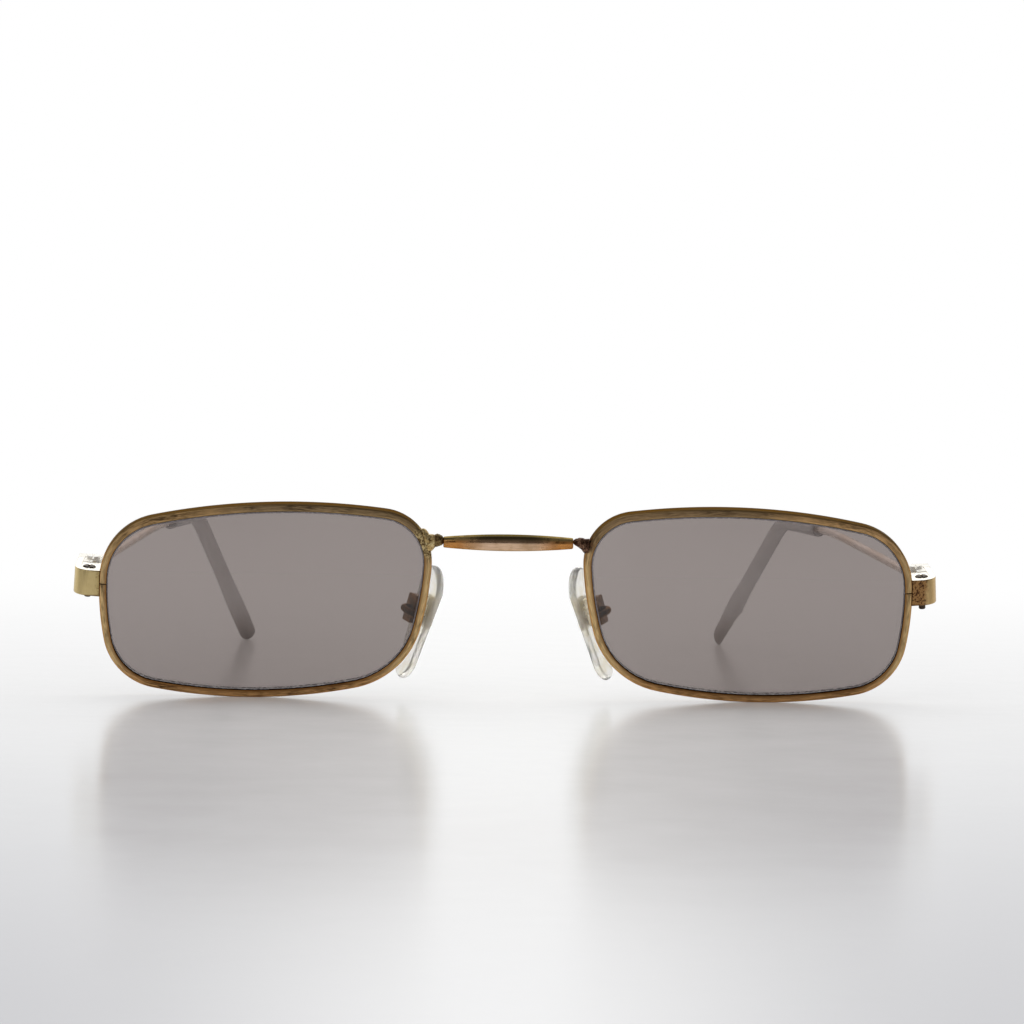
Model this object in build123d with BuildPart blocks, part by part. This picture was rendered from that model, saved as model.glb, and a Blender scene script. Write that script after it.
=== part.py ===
from build123d import *
import os
from math import asin, cos, radians, sin, sqrt

os.makedirs("parts", exist_ok=True)

# Driving dimensions, in millimetres and degrees. The spectacles stand as they rest on a table,
# on the feet of both rims and the ends of both ear tips. X runs across, towards the wearer's
# left, Y runs back along the temples and Z is up. One side is made and the other mirrors it.

# Posture of the front
lean_angle = 11.0  # the top of the front leans forward by this angle
front_to_middle = 59.47  # from the box centre of the rims back to the middle of the depth

# Rims and lenses
rim_box_width = 49.05
rim_box_height = 29.4
rim_gap = 22.25  # between the two rims at their nearest
rim_width = 1.15  # metal seen from the front
rim_depth = 2.0
rim_rounding = 0.4
curve_radius = 110.0  # base curve that lenses and rims follow
top_radius = 87.0
bottom_radius = 94.0
temporal_radius = 44.0
nasal_radius = 49.5
top_touch_share = -0.148  # where a side touches the box, as a share of half the box
bottom_touch_share = 0.121
temporal_touch_share = 0.065
nasal_touch_share = 0.572
top_nasal_corner = 8.1
top_temporal_corner = 10.2
bottom_temporal_corner = 8.65
bottom_nasal_corner = 12.1
groove_depth = 0.45
groove_width = 0.9
groove_chamfer = 0.25  # that brings the groove, and the lens's bevel, towards a V
lens_clearance = 0.05
lens_thickness = 1.8
saw_gap = 0.25  # the cut through the rim that the closing screw draws together

# Bridge
bridge_drop = 6.0  # from the top of the rim box, along the front
bead_gap = 1.55  # between an end of the bridge and the rims at their nearest
bridge_radius = 1.24
bridge_end_radius = 0.8
bead_radius = 0.95
bead_reach = 0.85  # of a bead's centre past the end of the bridge
bead_rise = 0.25  # of that centre above the bridge's axis
bead_foot_radius = 0.55  # of the solder that runs from the bead onto the rim

# End pieces: a strap round a split block that the closing screw draws together
end_height = 1.9  # of the end piece's middle above the box centre
end_rise_angle = 4.0  # the end piece climbs outwards by this angle
strap_reach = 3.8  # from the rim to the outer face
strap_height = 3.9
strap_thickness = 0.9
strap_bend = 2.4
strap_edge = 0.15  # rounding of the strap's outer edges
strap_front = 1.75  # of the strap's face behind the front's own plane
block_depth = 4.0
screw_reach = 1.7  # of the closing screw's axis from the rim
screw_setback = 2.3  # of that axis behind the strap's face
screw_radius = 0.5
screw_head_radius = 0.92
screw_head_sunk = 0.55
screw_head_proud = 0.15
screw_tip = 0.65  # that shows under the block
screw_clearance = 0.05
screw_chamfer = 0.1  # on every screw's head and tip
slot_width = 0.3
slot_depth = 0.3

# Hinges
barrel_radius = 1.25
barrel_setback = 7.5  # of the hinge axis behind the strap's face
knuckle_height = 1.2
knuckle_gap = 0.05
hinge_pin_radius = 0.6
hinge_pin_clearance = 0.04
hinge_head_radius = 1.0
hinge_head_height = 0.45
leaf_length = 2.3
barrel_relief = 0.12  # round the barrel, in what turns past it
butt_gap = 0.04  # between the strap's end and the temple when it is open
temple_block_length = 2.4
temple_taper = 3.6
collar_radius = 0.95

# Temples
temple_wire_radius = 0.65
temple_seat = 0.8  # how far behind the block's rear face the wire begins
front_run = 43.0
front_splay_angle = 10.2  # a run's angle inwards
front_climb_angle = 6.6  # a run's angle upwards
rear_run = 34.0
rear_splay_angle = 6.8
rear_climb_angle = 0.6
tip_splay_angle = 12.6
tip_drop_angle = 33.0
temple_bow_radius = 150.0
ear_bend_radius = 16.0

# Ear tips
sleeve_start = 8.5  # behind the bow of the wire
sleeve_radius = 1.3
sleeve_mouth_radius = 0.95
sleeve_mouth_depth = 1.2
paddle_length = 22.0
paddle_height = 3.2
paddle_width = 2.3
paddle_rounding = 0.7
wire_end_cover = 4.5  # of plastic past the end of the wire

# Nose pads
pad_length = 17.8
pad_width = 7.4
pad_tail_width = 5.0
pad_thickness = 1.9
pad_rounding = 0.8
pad_bow = 34.0
pad_spread = 12.05  # of the pad's middle from the middle of the bridge
pad_height = -5.25  # of the pad's middle above the box centre, along the front
pad_setback = 5.11  # behind the foot of the guard arm
pad_slant_angle = 18.5  # the lower end stands outwards
pad_splay_angle = 23.0  # the rear edge stands outwards
pad_tilt_angle = 8.0  # the upper end stands further back
mount_rise = 2.0  # of the pad's screw above its middle
insert_length = 5.0
insert_width = 3.4
insert_thickness = 0.5
tab_radius = 0.85
tab_thickness = 1.0
tab_clearance = 0.08
box_gap = 0.35  # between the pad and its box
box_length = 4.2
box_width = 2.6
box_depth = 2.2
box_wall = 0.45
box_rounding = 0.3
pad_screw_inset = 0.8  # of the pad's screw from the mouth of the box
pad_screw_radius = 0.45
pad_screw_head_radius = 0.75
pad_screw_head_height = 0.4
arm_radius = 0.5
arm_foot_height = -2.4  # above the box centre, along the front
arm_seat = 0.75  # where the arm starts behind the middle of the rim's depth
arm_back = 1.4
arm_fall = 0.8
arm_out = 2.2
arm_bend = 0.8

overrun = 1.0  # of cutting tools past what they cut

# The front's own directions, and its point between the box centres of the two rims
half_width = rim_box_width / 2
half_height = rim_box_height / 2
eye_centre = rim_gap / 2 + half_width


def sag(reach):
    """How far the base curve falls back at this distance from a lens's centre."""
    return curve_radius - sqrt(curve_radius**2 - reach**2)


foot_reach = sqrt(half_height**2 + (bottom_touch_share * half_width) ** 2)
foot_depth = sag(foot_reach) - rim_depth / 2
lean_cos = cos(radians(lean_angle))
lean_sin = sin(radians(lean_angle))
foot_rounding = rim_rounding * (lean_cos + lean_sin - 1)
box_centre_height = half_height * lean_cos - foot_depth * lean_sin - foot_rounding
front_up = Vector(0, -lean_sin, lean_cos)
front_back = Vector(0, lean_cos, lean_sin)
front_centre = Vector(0, -front_to_middle, box_centre_height)


def at_front(across, up, back):
    """Point of the front: across it, up along it, and back from it."""
    return front_centre + Vector(across, 0, 0) + front_up * up + front_back * back


eye_face = Plane(origin=at_front(eye_centre, 0, 0), x_dir=(1, 0, 0), z_dir=-front_back)
ball_centre = Plane(origin=at_front(eye_centre, 0, curve_radius), x_dir=-front_back, z_dir=front_up)


def rim_outline(inset):
    """The rim's outline, drawn in by inset: four shallow arcs whose corners are rounded."""
    with BuildSketch(eye_face) as outline:
        with Locations((top_touch_share * half_width, half_height - top_radius)):
            Circle(top_radius - inset)
        with Locations((bottom_touch_share * half_width, bottom_radius - half_height)):
            Circle(bottom_radius - inset, mode=Mode.INTERSECT)
        with Locations((half_width - temporal_radius, temporal_touch_share * half_height)):
            Circle(temporal_radius - inset, mode=Mode.INTERSECT)
        with Locations((nasal_radius - half_width, nasal_touch_share * half_height)):
            Circle(nasal_radius - inset, mode=Mode.INTERSECT)
        for across, up, radius in (
            (-half_width, -half_height, bottom_nasal_corner),
            (-half_width, half_height, top_nasal_corner),
            (half_width, -half_height, bottom_temporal_corner),
            (half_width, half_height, top_temporal_corner),
        ):
            corner = outline.vertices().sort_by_distance((across, up))[0]
            fillet(corner, radius - inset)
    return outline.sketch


def curved_plate(inset, thickness):
    """A plate of that outline, bent to the base curve. Both spheres keep their seams clear of it."""
    with BuildPart() as plate:
        extrude(rim_outline(inset), amount=half_height, both=True)
        with Locations(ball_centre):
            Sphere(curve_radius + thickness / 2, rotation=(0, 0, 180), mode=Mode.INTERSECT)
            Sphere(curve_radius - thickness / 2, rotation=(0, 0, 180), mode=Mode.SUBTRACT)
    return plate.part


def bevelled_plate(inset, thickness):
    """Such a plate with its rim chamfered, as a lens's bevel is and the groove that holds it."""
    with BuildPart() as plate:
        add(curved_plate(inset, thickness))
        chamfer(plate.edges().filter_by(lambda edge: edge.length > 2 * thickness), groove_chamfer)
    return plate.part


# The end piece's own plane looks down on it: out from the rim, and back
end_out = Vector(cos(radians(end_rise_angle)), 0, 0) + front_up * sin(radians(end_rise_angle))
end_up = front_up * cos(radians(end_rise_angle)) - Vector(sin(radians(end_rise_angle)), 0, 0)
end_origin = at_front(eye_centre + half_width, end_height, 0)
end_plan = Plane(origin=end_origin, x_dir=end_out, z_dir=end_up)
end_low = end_plan.offset(-strap_height / 2)
strap_inside = strap_reach - strap_thickness
bend_centre = (strap_reach - strap_bend, strap_front + strap_bend)
barrel_axis = (strap_inside - barrel_radius - barrel_relief, strap_front + barrel_setback)
butt = barrel_axis[1]
screw_axis = (screw_reach, strap_front + screw_setback)


def write_pair(piece, name):
    """Writes the piece for the wearer's left, and its mirror image for the right."""
    piece.part.label = name + "_left"
    export_step(piece.part, f"parts/{name}_left.step")
    twin = mirror(piece.part, about=Plane.YZ)
    twin.label = name + "_right"
    export_step(twin, f"parts/{name}_right.step")


# Eyewire: grooved inside for the lens's bevel, and sawn through where the closing screw is
with BuildPart() as eyewire:
    add(curved_plate(0, rim_depth))
    add(curved_plate(rim_width, rim_depth + overrun), mode=Mode.SUBTRACT)
    fillet(eyewire.edges().filter_by(lambda edge: edge.length > rim_depth), rim_rounding)
    add(bevelled_plate(rim_width - groove_depth, groove_width), mode=Mode.SUBTRACT)
    with BuildSketch(end_plan.offset(-saw_gap / 2)):
        with Locations((0, strap_front + rim_depth / 2)):
            Rectangle(2 * rim_width + 2 * overrun, 2 * rim_depth + 2 * overrun)
    extrude(amount=saw_gap, mode=Mode.SUBTRACT)
write_pair(eyewire, "eyewire")

# Lens: its bevel stands in the groove
with BuildPart() as lens:
    add(curved_plate(rim_width + lens_clearance, lens_thickness))
    add(bevelled_plate(rim_width - groove_depth + lens_clearance, groove_width - 2 * lens_clearance))
write_pair(lens, "lens")

# Bridge: a spindle between two beads of solder
bridge_end = rim_gap / 2 - bead_gap
bridge_sag = sag(half_width - rim_width)
bridge_origin = at_front(0, half_height - bridge_drop, bridge_sag)
bridge_plane = Plane(origin=bridge_origin, x_dir=(1, 0, 0), z_dir=front_up)
with BuildPart() as bridge_bar:
    with BuildSketch(bridge_plane):
        with BuildLine():
            spindle = ThreePointArc(
                (-bridge_end, bridge_end_radius),
                (0, bridge_radius),
                (bridge_end, bridge_end_radius),
            )
            Polyline(spindle @ 0, (-bridge_end, 0), (bridge_end, 0), spindle @ 1)
        make_face()
    revolve(axis=Axis(bridge_plane.origin, (1, 0, 0)))
bridge_bar.part.label = "bridge_bar"
export_step(bridge_bar.part, "parts/bridge_bar.step")

bead_centre = bridge_plane.from_local_coords(Vector(bridge_end + bead_reach, 0, bead_rise))
with BuildPart() as bridge_bead:
    with Locations(Plane(origin=bead_centre, z_dir=(1, 0, 0))):
        Sphere(bead_radius)
        Cylinder(bead_foot_radius, bead_gap + rim_width, align=(Align.CENTER, Align.CENTER, Align.MIN))
    add(bridge_bar.part, mode=Mode.SUBTRACT)
    extrude(rim_outline(0), amount=half_height, both=True, mode=Mode.SUBTRACT)
write_pair(bridge_bead, "bridge_bead")


def on_strap_face(edge):
    """Whether an edge runs along the strap's outer face, at its top or its bottom."""
    middle = end_plan.to_local_coords(edge @ 0.5)
    past_bend = Vector(max(middle.X - bend_centre[0], 0), max(bend_centre[1] - middle.Y, 0))
    outside = strap_bend - past_bend.length < strap_edge
    return outside and abs(abs(middle.Z) - strap_height / 2) < strap_edge


# End piece: the strap starts on the rim, turns the corner and runs back to the hinge
with BuildPart() as end_strap:
    with BuildSketch(end_low):
        with BuildLine():
            outer = FilletPolyline(
                (-overrun, strap_front),
                (strap_reach, strap_front),
                (strap_reach, butt - butt_gap),
                radius=strap_bend,
            )
            inner = FilletPolyline(
                (-overrun, strap_front + strap_thickness),
                (strap_inside, strap_front + strap_thickness),
                (strap_inside, butt - butt_gap),
                radius=strap_bend - strap_thickness,
            )
            Line(outer @ 0, inner @ 0)
            Line(outer @ 1, inner @ 1)
        make_face()
    extrude(amount=strap_height)
    fillet(end_strap.edges().filter_by(on_strap_face), strap_edge)
    extrude(rim_outline(0), amount=half_height, both=True, mode=Mode.SUBTRACT)
write_pair(end_strap, "end_strap")


def closing_block(low, height):
    """One half of the split block between the rim and the strap."""
    with BuildPart() as block:
        with BuildSketch(end_plan.offset(low)) as blank:
            with Locations(((strap_inside - overrun) / 2, strap_front + strap_thickness + block_depth / 2)):
                Rectangle(strap_inside + overrun, block_depth)
            fillet(blank.vertices().group_by(Axis.X)[-1].sort_by(Axis.Y)[0], strap_bend - strap_thickness)
        extrude(amount=height)
        extrude(rim_outline(0), amount=half_height, both=True, mode=Mode.SUBTRACT)
        with BuildSketch(end_plan.offset(low - overrun)):
            with Locations(screw_axis):
                Circle(screw_radius + screw_clearance)
        extrude(amount=height + 2 * overrun, mode=Mode.SUBTRACT)
    return block.part


half_block = (strap_height - saw_gap) / 2
screw_seat = strap_height / 2 - screw_head_sunk
with BuildPart() as closing_block_upper:
    add(closing_block(saw_gap / 2, half_block))
    with BuildSketch(end_plan.offset(screw_seat)):
        with Locations(screw_axis):
            Circle(screw_head_radius + screw_clearance)
    extrude(amount=screw_head_sunk + overrun, mode=Mode.SUBTRACT)
write_pair(closing_block_upper, "closing_block_upper")

with BuildPart() as closing_block_lower:
    add(closing_block(-strap_height / 2, half_block))
write_pair(closing_block_lower, "closing_block_lower")


def slotted_screw(plane, axis, seat, head_radius, head_height, shank_radius, shank_length):
    """A screw along a plane's normal: a slotted cheese head above its seat, and a shank below."""
    centre = plane.from_local_coords(Vector(*axis, seat))
    with BuildPart() as screw:
        with BuildSketch(Plane(origin=centre, x_dir=plane.x_dir, z_dir=-plane.y_dir)):
            with BuildLine():
                Polyline(
                    (0, head_height),
                    (head_radius - screw_chamfer, head_height),
                    (head_radius, head_height - screw_chamfer),
                    (head_radius, 0),
                    (shank_radius, 0),
                    (shank_radius, screw_chamfer - shank_length),
                    (shank_radius - screw_chamfer, -shank_length),
                    (0, -shank_length),
                    close=True,
                )
            make_face()
        revolve(axis=Axis(centre, plane.z_dir))
        with BuildSketch(plane.offset(seat + head_height - slot_depth)):
            with Locations(axis):
                Rectangle(slot_width, 2 * head_radius + overrun)
        extrude(amount=slot_depth, mode=Mode.SUBTRACT)
    return screw.part


with BuildPart() as closing_screw:
    add(
        slotted_screw(
            end_plan,
            screw_axis,
            screw_seat,
            screw_head_radius,
            screw_head_sunk + screw_head_proud,
            screw_radius,
            screw_seat + strap_height / 2 + screw_tip,
        )
    )
write_pair(closing_screw, "closing_screw")

# Hinge leaf on the front: a plate on the strap's inside that carries the outer two knuckles
knuckle_slot = knuckle_height + 2 * knuckle_gap
with BuildPart() as hinge_leaf:
    with BuildSketch(end_low) as leaf_outline:
        with Locations(((barrel_axis[0] + strap_inside) / 2, butt - butt_gap - leaf_length / 2)):
            Rectangle(strap_inside - barrel_axis[0], leaf_length)
        with Locations(barrel_axis):
            Circle(barrel_radius)
    extrude(amount=strap_height)
    with BuildSketch(end_plan.offset(-knuckle_slot / 2)):
        with Locations((strap_inside / 2, butt - barrel_radius - barrel_relief + leaf_length)):
            Rectangle(2 * strap_inside, 2 * leaf_length)
    extrude(amount=knuckle_slot, mode=Mode.SUBTRACT)
    with BuildSketch(end_low.offset(-overrun)):
        with Locations(barrel_axis):
            Circle(hinge_pin_radius + hinge_pin_clearance)
    extrude(amount=strap_height + 2 * overrun, mode=Mode.SUBTRACT)
write_pair(hinge_leaf, "hinge_leaf")

with BuildPart() as hinge_screw:
    add(
        slotted_screw(
            end_plan,
            barrel_axis,
            strap_height / 2,
            hinge_head_radius,
            hinge_head_height,
            hinge_pin_radius,
            strap_height,
        )
    )
write_pair(hinge_screw, "hinge_screw")


def heading(splay, climb):
    """Unit vector of a run that goes back, inwards by splay and upwards by climb."""
    level = cos(radians(climb))
    return Vector(-sin(radians(splay)) * level, cos(radians(splay)) * level, sin(radians(climb)))


# Route of the temple: two gentle runs to the ear bend, and one down to the table
front_heading = heading(front_splay_angle, front_climb_angle)
rear_heading = heading(rear_splay_angle, rear_climb_angle)
tip_heading = heading(tip_splay_angle, -tip_drop_angle)
block_middle = (barrel_axis[0] - barrel_radius + strap_reach) / 2
block_rear = end_plan.from_local_coords(Vector(block_middle, butt + temple_block_length, 0))
wire_start = block_rear + front_heading * temple_seat
bow_point = block_rear + front_heading * front_run
ear_point = bow_point + rear_heading * rear_run
drop_cos = cos(radians(tip_drop_angle))
drop_sin = sin(radians(tip_drop_angle))
end_height_of_tip = paddle_rounding * (1 - drop_sin) + (paddle_height / 2 - paddle_rounding) * drop_cos
tip_run = (ear_point.Z - end_height_of_tip) / drop_sin
tip_end = ear_point + tip_heading * tip_run

with BuildPart() as temple_wire:
    with BuildLine():
        wire_route = FilletPolyline(
            wire_start,
            bow_point,
            ear_point,
            tip_end - tip_heading * wire_end_cover,
            radius=[temple_bow_radius, ear_bend_radius],
        )
    with BuildSketch(Plane(origin=wire_route @ 0, z_dir=wire_route % 0)):
        Circle(temple_wire_radius)
    sweep()
write_pair(temple_wire, "temple_wire")

# Hinge block of the temple: the middle knuckle, a shoulder that stops on the strap, and a taper
shoulder_width = strap_reach - barrel_axis[0] + barrel_radius
collar_plane = Plane(origin=block_rear + front_heading * temple_taper, x_dir=end_out, z_dir=front_heading)
with BuildPart() as temple_hinge:
    with BuildSketch(end_low):
        with Locations((block_middle, butt + temple_block_length / 2)):
            Rectangle(shoulder_width, temple_block_length)
    extrude(amount=strap_height)
    with BuildSketch(end_low):
        with Locations(barrel_axis):
            Circle(barrel_radius + barrel_relief)
    extrude(amount=strap_height, mode=Mode.SUBTRACT)
    with BuildSketch(end_plan.offset(-knuckle_height / 2)):
        with Locations(barrel_axis):
            Circle(barrel_radius)
        with Locations((block_middle, butt + temple_block_length / 2)):
            Rectangle(shoulder_width, temple_block_length)
    extrude(amount=knuckle_height)
    with BuildSketch(end_plan.offset(-knuckle_height / 2 - overrun)):
        with Locations(barrel_axis):
            Circle(hinge_pin_radius + hinge_pin_clearance)
    extrude(amount=knuckle_height + 2 * overrun, mode=Mode.SUBTRACT)
    with BuildSketch(Plane(origin=block_rear, x_dir=end_out, z_dir=front_back)):
        Rectangle(shoulder_width, strap_height)
    with BuildSketch(collar_plane):
        Circle(collar_radius)
    loft()
    add(temple_wire.part, mode=Mode.SUBTRACT)
write_pair(temple_hinge, "temple_hinge")

# Ear tip: a sleeve over the wire that ends in a flat paddle
tip_side = tip_heading.cross(Vector(0, 0, 1)).normalized()
paddle_start = tip_end - tip_heading * paddle_length
paddle_middle = tip_end - tip_heading * paddle_length / 2
with BuildPart() as ear_tip:
    with BuildLine():
        sleeve_route = FilletPolyline(
            bow_point + rear_heading * sleeve_start, ear_point, paddle_start, radius=ear_bend_radius
        )
    with BuildSketch(Plane(origin=sleeve_route @ 0, z_dir=sleeve_route % 0)):
        Circle(sleeve_radius)
    sweep()
    with BuildSketch(Plane(origin=paddle_start, x_dir=tip_side, z_dir=tip_heading)):
        Circle(sleeve_radius)
    with BuildSketch(Plane(origin=paddle_middle, x_dir=tip_side, z_dir=tip_heading)):
        Ellipse(paddle_width / 2, paddle_height / 2)
    with BuildSketch(Plane(origin=tip_end, x_dir=tip_side, z_dir=tip_heading)):
        Ellipse(paddle_width / 2, paddle_height / 2)
    loft()
    end_edge = ear_tip.edges().sort_by(lambda edge: (edge.center() - tip_end).length)[0]
    fillet(end_edge, paddle_rounding)
    add(temple_wire.part, mode=Mode.SUBTRACT)
    with BuildSketch(Plane(origin=sleeve_route @ 0, z_dir=sleeve_route % 0)):
        Circle(sleeve_mouth_radius)
    extrude(amount=sleeve_mouth_depth, mode=Mode.SUBTRACT)
write_pair(ear_tip, "ear_tip")

# The guard arm's foot, behind the middle of the rim's width
nasal_reach = nasal_touch_share * half_height - arm_foot_height
foot_across = nasal_radius - half_width - sqrt(nasal_radius**2 - nasal_reach**2) + rim_width / 2
foot_back = sag(sqrt(foot_across**2 + arm_foot_height**2)) + arm_seat

# The nose pad's own directions: along it, across it towards the back, and out from the nose
slant_along = front_up * cos(radians(pad_slant_angle)) - Vector(sin(radians(pad_slant_angle)), 0, 0)
slant_out = front_up * sin(radians(pad_slant_angle)) + Vector(cos(radians(pad_slant_angle)), 0, 0)
pad_along = slant_along * cos(radians(pad_tilt_angle)) + front_back * sin(radians(pad_tilt_angle))
tilt_across = front_back * cos(radians(pad_tilt_angle)) - slant_along * sin(radians(pad_tilt_angle))
pad_across = tilt_across * cos(radians(pad_splay_angle)) + slant_out * sin(radians(pad_splay_angle))
pad_out = slant_out * cos(radians(pad_splay_angle)) - tilt_across * sin(radians(pad_splay_angle))
pad_centre = at_front(pad_spread, pad_height, foot_back + pad_setback)
pad_plane = Plane(origin=pad_centre, x_dir=pad_across, z_dir=pad_out)
pad_bow_centre = Plane(origin=pad_centre + pad_out * pad_bow, x_dir=pad_out, z_dir=pad_across)
box_mouth = pad_thickness / 2 + box_gap
rock_reach = box_mouth + pad_screw_inset

# The mount stands square on the bowed pad, above its middle
mount_lean = asin(mount_rise / pad_bow)
mount_along = pad_along * cos(mount_lean) + pad_out * sin(mount_lean)
mount_out = pad_out * cos(mount_lean) - pad_along * sin(mount_lean)
mount_plane = Plane(origin=pad_bow_centre.origin - mount_out * pad_bow, x_dir=pad_across, z_dir=mount_out)
rock_point = mount_plane.origin + mount_out * rock_reach
rock_plane = Plane(origin=rock_point, x_dir=mount_along, z_dir=-pad_across)

# Insert of the nose pad: a plate cast into the pad, and the tab that the screw passes through
with BuildPart() as pad_insert:
    with BuildSketch(mount_plane.offset(-insert_thickness / 2)):
        RectangleRounded(insert_width, insert_length, insert_width / 4)
    extrude(amount=insert_thickness)
    with BuildSketch(rock_plane.offset(-tab_thickness / 2)):
        Circle(tab_radius)
        with Locations((0, rock_reach / 2)):
            Rectangle(2 * tab_radius, rock_reach)
    extrude(amount=tab_thickness)
    with BuildSketch(rock_plane.offset(-tab_thickness)):
        Circle(pad_screw_radius + screw_clearance)
    extrude(amount=2 * tab_thickness, mode=Mode.SUBTRACT)
write_pair(pad_insert, "pad_insert")

# Nose pad: a teardrop, bowed towards the nose, with a soft edge
with BuildPart() as nose_pad:
    with BuildSketch(pad_plane):
        with Locations((0, (pad_length - pad_width) / 2)):
            Circle(pad_width / 2)
        with Locations((0, (pad_tail_width - pad_length) / 2)):
            Circle(pad_tail_width / 2)
        make_hull()
    extrude(amount=pad_width, both=True)
    with Locations(pad_bow_centre):
        Cylinder(pad_bow + pad_thickness / 2, 2 * pad_length, mode=Mode.INTERSECT)
        Cylinder(pad_bow - pad_thickness / 2, 2 * pad_length, mode=Mode.SUBTRACT)
    fillet(nose_pad.edges().filter_by(lambda edge: edge.length > pad_tail_width), pad_rounding)
    add(pad_insert.part, mode=Mode.SUBTRACT)
write_pair(nose_pad, "nose_pad")

# Pad box: the tab stands in it, and the screw passes through both
with BuildPart() as pad_box:
    with BuildSketch(mount_plane.offset(box_mouth)):
        RectangleRounded(box_width, box_length, box_rounding)
    extrude(amount=box_depth)
    with BuildSketch(mount_plane.offset(box_mouth)):
        Rectangle(tab_thickness + 2 * tab_clearance, box_length - 2 * box_wall)
    extrude(amount=box_depth - box_wall, mode=Mode.SUBTRACT)
    with BuildSketch(rock_plane.offset(-box_width)):
        Circle(pad_screw_radius)
    extrude(amount=2 * box_width, mode=Mode.SUBTRACT)
write_pair(pad_box, "pad_box")

with BuildPart() as pad_screw:
    add(
        slotted_screw(
            rock_plane,
            (0, 0),
            box_width / 2,
            pad_screw_head_radius,
            pad_screw_head_height,
            pad_screw_radius,
            box_width,
        )
    )
write_pair(pad_screw, "pad_screw")

# Guard arm: from the back of the rim, round to the back of the pad box
box_back = mount_plane.origin + mount_out * (box_mouth + box_depth)
with BuildPart() as guard_arm:
    with BuildLine():
        arm_route = FilletPolyline(
            at_front(eye_centre + foot_across, arm_foot_height, foot_back),
            at_front(eye_centre + foot_across, arm_foot_height - arm_fall, foot_back + arm_back),
            box_back + mount_out * arm_out,
            box_back,
            radius=arm_bend,
        )
    with BuildSketch(Plane(origin=arm_route @ 0, z_dir=arm_route % 0)):
        Circle(arm_radius)
    sweep()
    add(eyewire.part, mode=Mode.SUBTRACT)
write_pair(guard_arm, "guard_arm")

print("fold axis of the wearer's left temple", end_plan.from_local_coords(Vector(*barrel_axis)), end_up)
print("rock axis of the wearer's left nose pad", rock_point, pad_across)
print("ear bend", ear_point, "tip end", tip_end, "along", tip_heading)
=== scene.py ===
# %% [markdown]
# # Narrow rectangle sunglasses on a pale table
#
# The pair in this lesson stands open on a glossy table: two rims of old gold-plated wire, grey
# lenses, a spindle bridge, clear nose pads and thin temples with translucent ear tips. The solid
# model gives every size and every place. This file dresses it: it replaces the plain solids by
# finer meshes of the same size, and gives each one the finish of its real material.

from functools import partial
from math import acos, asin, atan2, cos, hypot, pi, radians, sin, sqrt, tan

import bmesh
import bpy
from mathutils import Matrix, Quaternion, Vector, noise


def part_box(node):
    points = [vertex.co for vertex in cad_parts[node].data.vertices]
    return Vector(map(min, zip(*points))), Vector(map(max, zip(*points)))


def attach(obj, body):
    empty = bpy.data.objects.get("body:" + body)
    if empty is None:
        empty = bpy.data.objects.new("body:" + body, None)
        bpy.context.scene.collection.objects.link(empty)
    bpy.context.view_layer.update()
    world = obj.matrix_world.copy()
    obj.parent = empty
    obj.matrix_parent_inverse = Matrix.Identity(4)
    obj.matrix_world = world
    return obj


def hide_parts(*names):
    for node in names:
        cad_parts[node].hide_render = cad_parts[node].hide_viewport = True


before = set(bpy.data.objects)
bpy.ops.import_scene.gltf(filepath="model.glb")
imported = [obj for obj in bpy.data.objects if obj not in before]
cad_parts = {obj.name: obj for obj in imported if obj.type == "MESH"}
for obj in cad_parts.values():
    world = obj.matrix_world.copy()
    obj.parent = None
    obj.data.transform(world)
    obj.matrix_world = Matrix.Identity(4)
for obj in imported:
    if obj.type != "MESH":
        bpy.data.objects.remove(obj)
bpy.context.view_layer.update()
MM = 0.001  # the scene is in metres, and sizes here are written in millimetres

# %% [markdown]
# ## Camera
#
# The picture is taken from half a metre in front, a hand's breadth above the table, with a long
# lens. A long lens flattens the object, so the temples shrink to thin lines behind the lenses.
# The camera stands a little to one side and looks slightly down. Its focal length is known in
# pixels, so Blender's focal length follows from the sensor's width.

# %% Place the camera
PICTURE = 1024  # pixels, each way
FOCAL = 3400  # pixels
SENSOR = 36  # millimetres
AIM_ASIDE, AIM_BELOW = 3.1, 117.2  # pixels from a level view of the front to the picture's middle
ROLL = radians(0.8)
FRONT_Y = -59.47  # the front stands here, and the temples run back from it
aside, away, eye_height = -18.0, 500, 45.2
camera_data = bpy.data.cameras.new("camera")
camera_data.sensor_width = SENSOR
camera_data.lens = FOCAL / PICTURE * SENSOR
camera = bpy.data.objects.new("camera", camera_data)
bpy.context.collection.objects.link(camera)
camera.location = (aside * MM, (FRONT_Y - away) * MM, eye_height * MM)
yaw = atan2(-aside, away) + AIM_ASIDE / FOCAL
pitch = atan2(AIM_BELOW, FOCAL)
look = Vector((sin(yaw) * cos(pitch), cos(yaw) * cos(pitch), -sin(pitch)))
camera.rotation_mode = "QUATERNION"
camera.rotation_quaternion = look.to_track_quat("-Z", "Y") @ Quaternion((0, 0, 1), ROLL)
bpy.context.scene.camera = camera
print("lens", round(camera_data.lens, 1), "mm, camera at", [round(c, 4) for c in camera.location])

# %% [markdown]
# ## Helpers for nodes and colours
#
# Colours are written as a painter's hex values and turned into the linear light that the
# renderer works in. One function adds any node: it sets the node's properties, fills or links
# its inputs and gives back one output, so a finish reads from top to bottom like a recipe.


# %% Colours and nodes
def linear(hex_colour):
    """A hex colour as linear red, green, blue and a full alpha."""
    shares = [int(hex_colour[i : i + 2], 16) / 255 for i in (1, 3, 5)]
    return [s / 12.92 if s <= 0.04045 else ((s + 0.055) / 1.055) ** 2.4 for s in shares] + [1]


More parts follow.
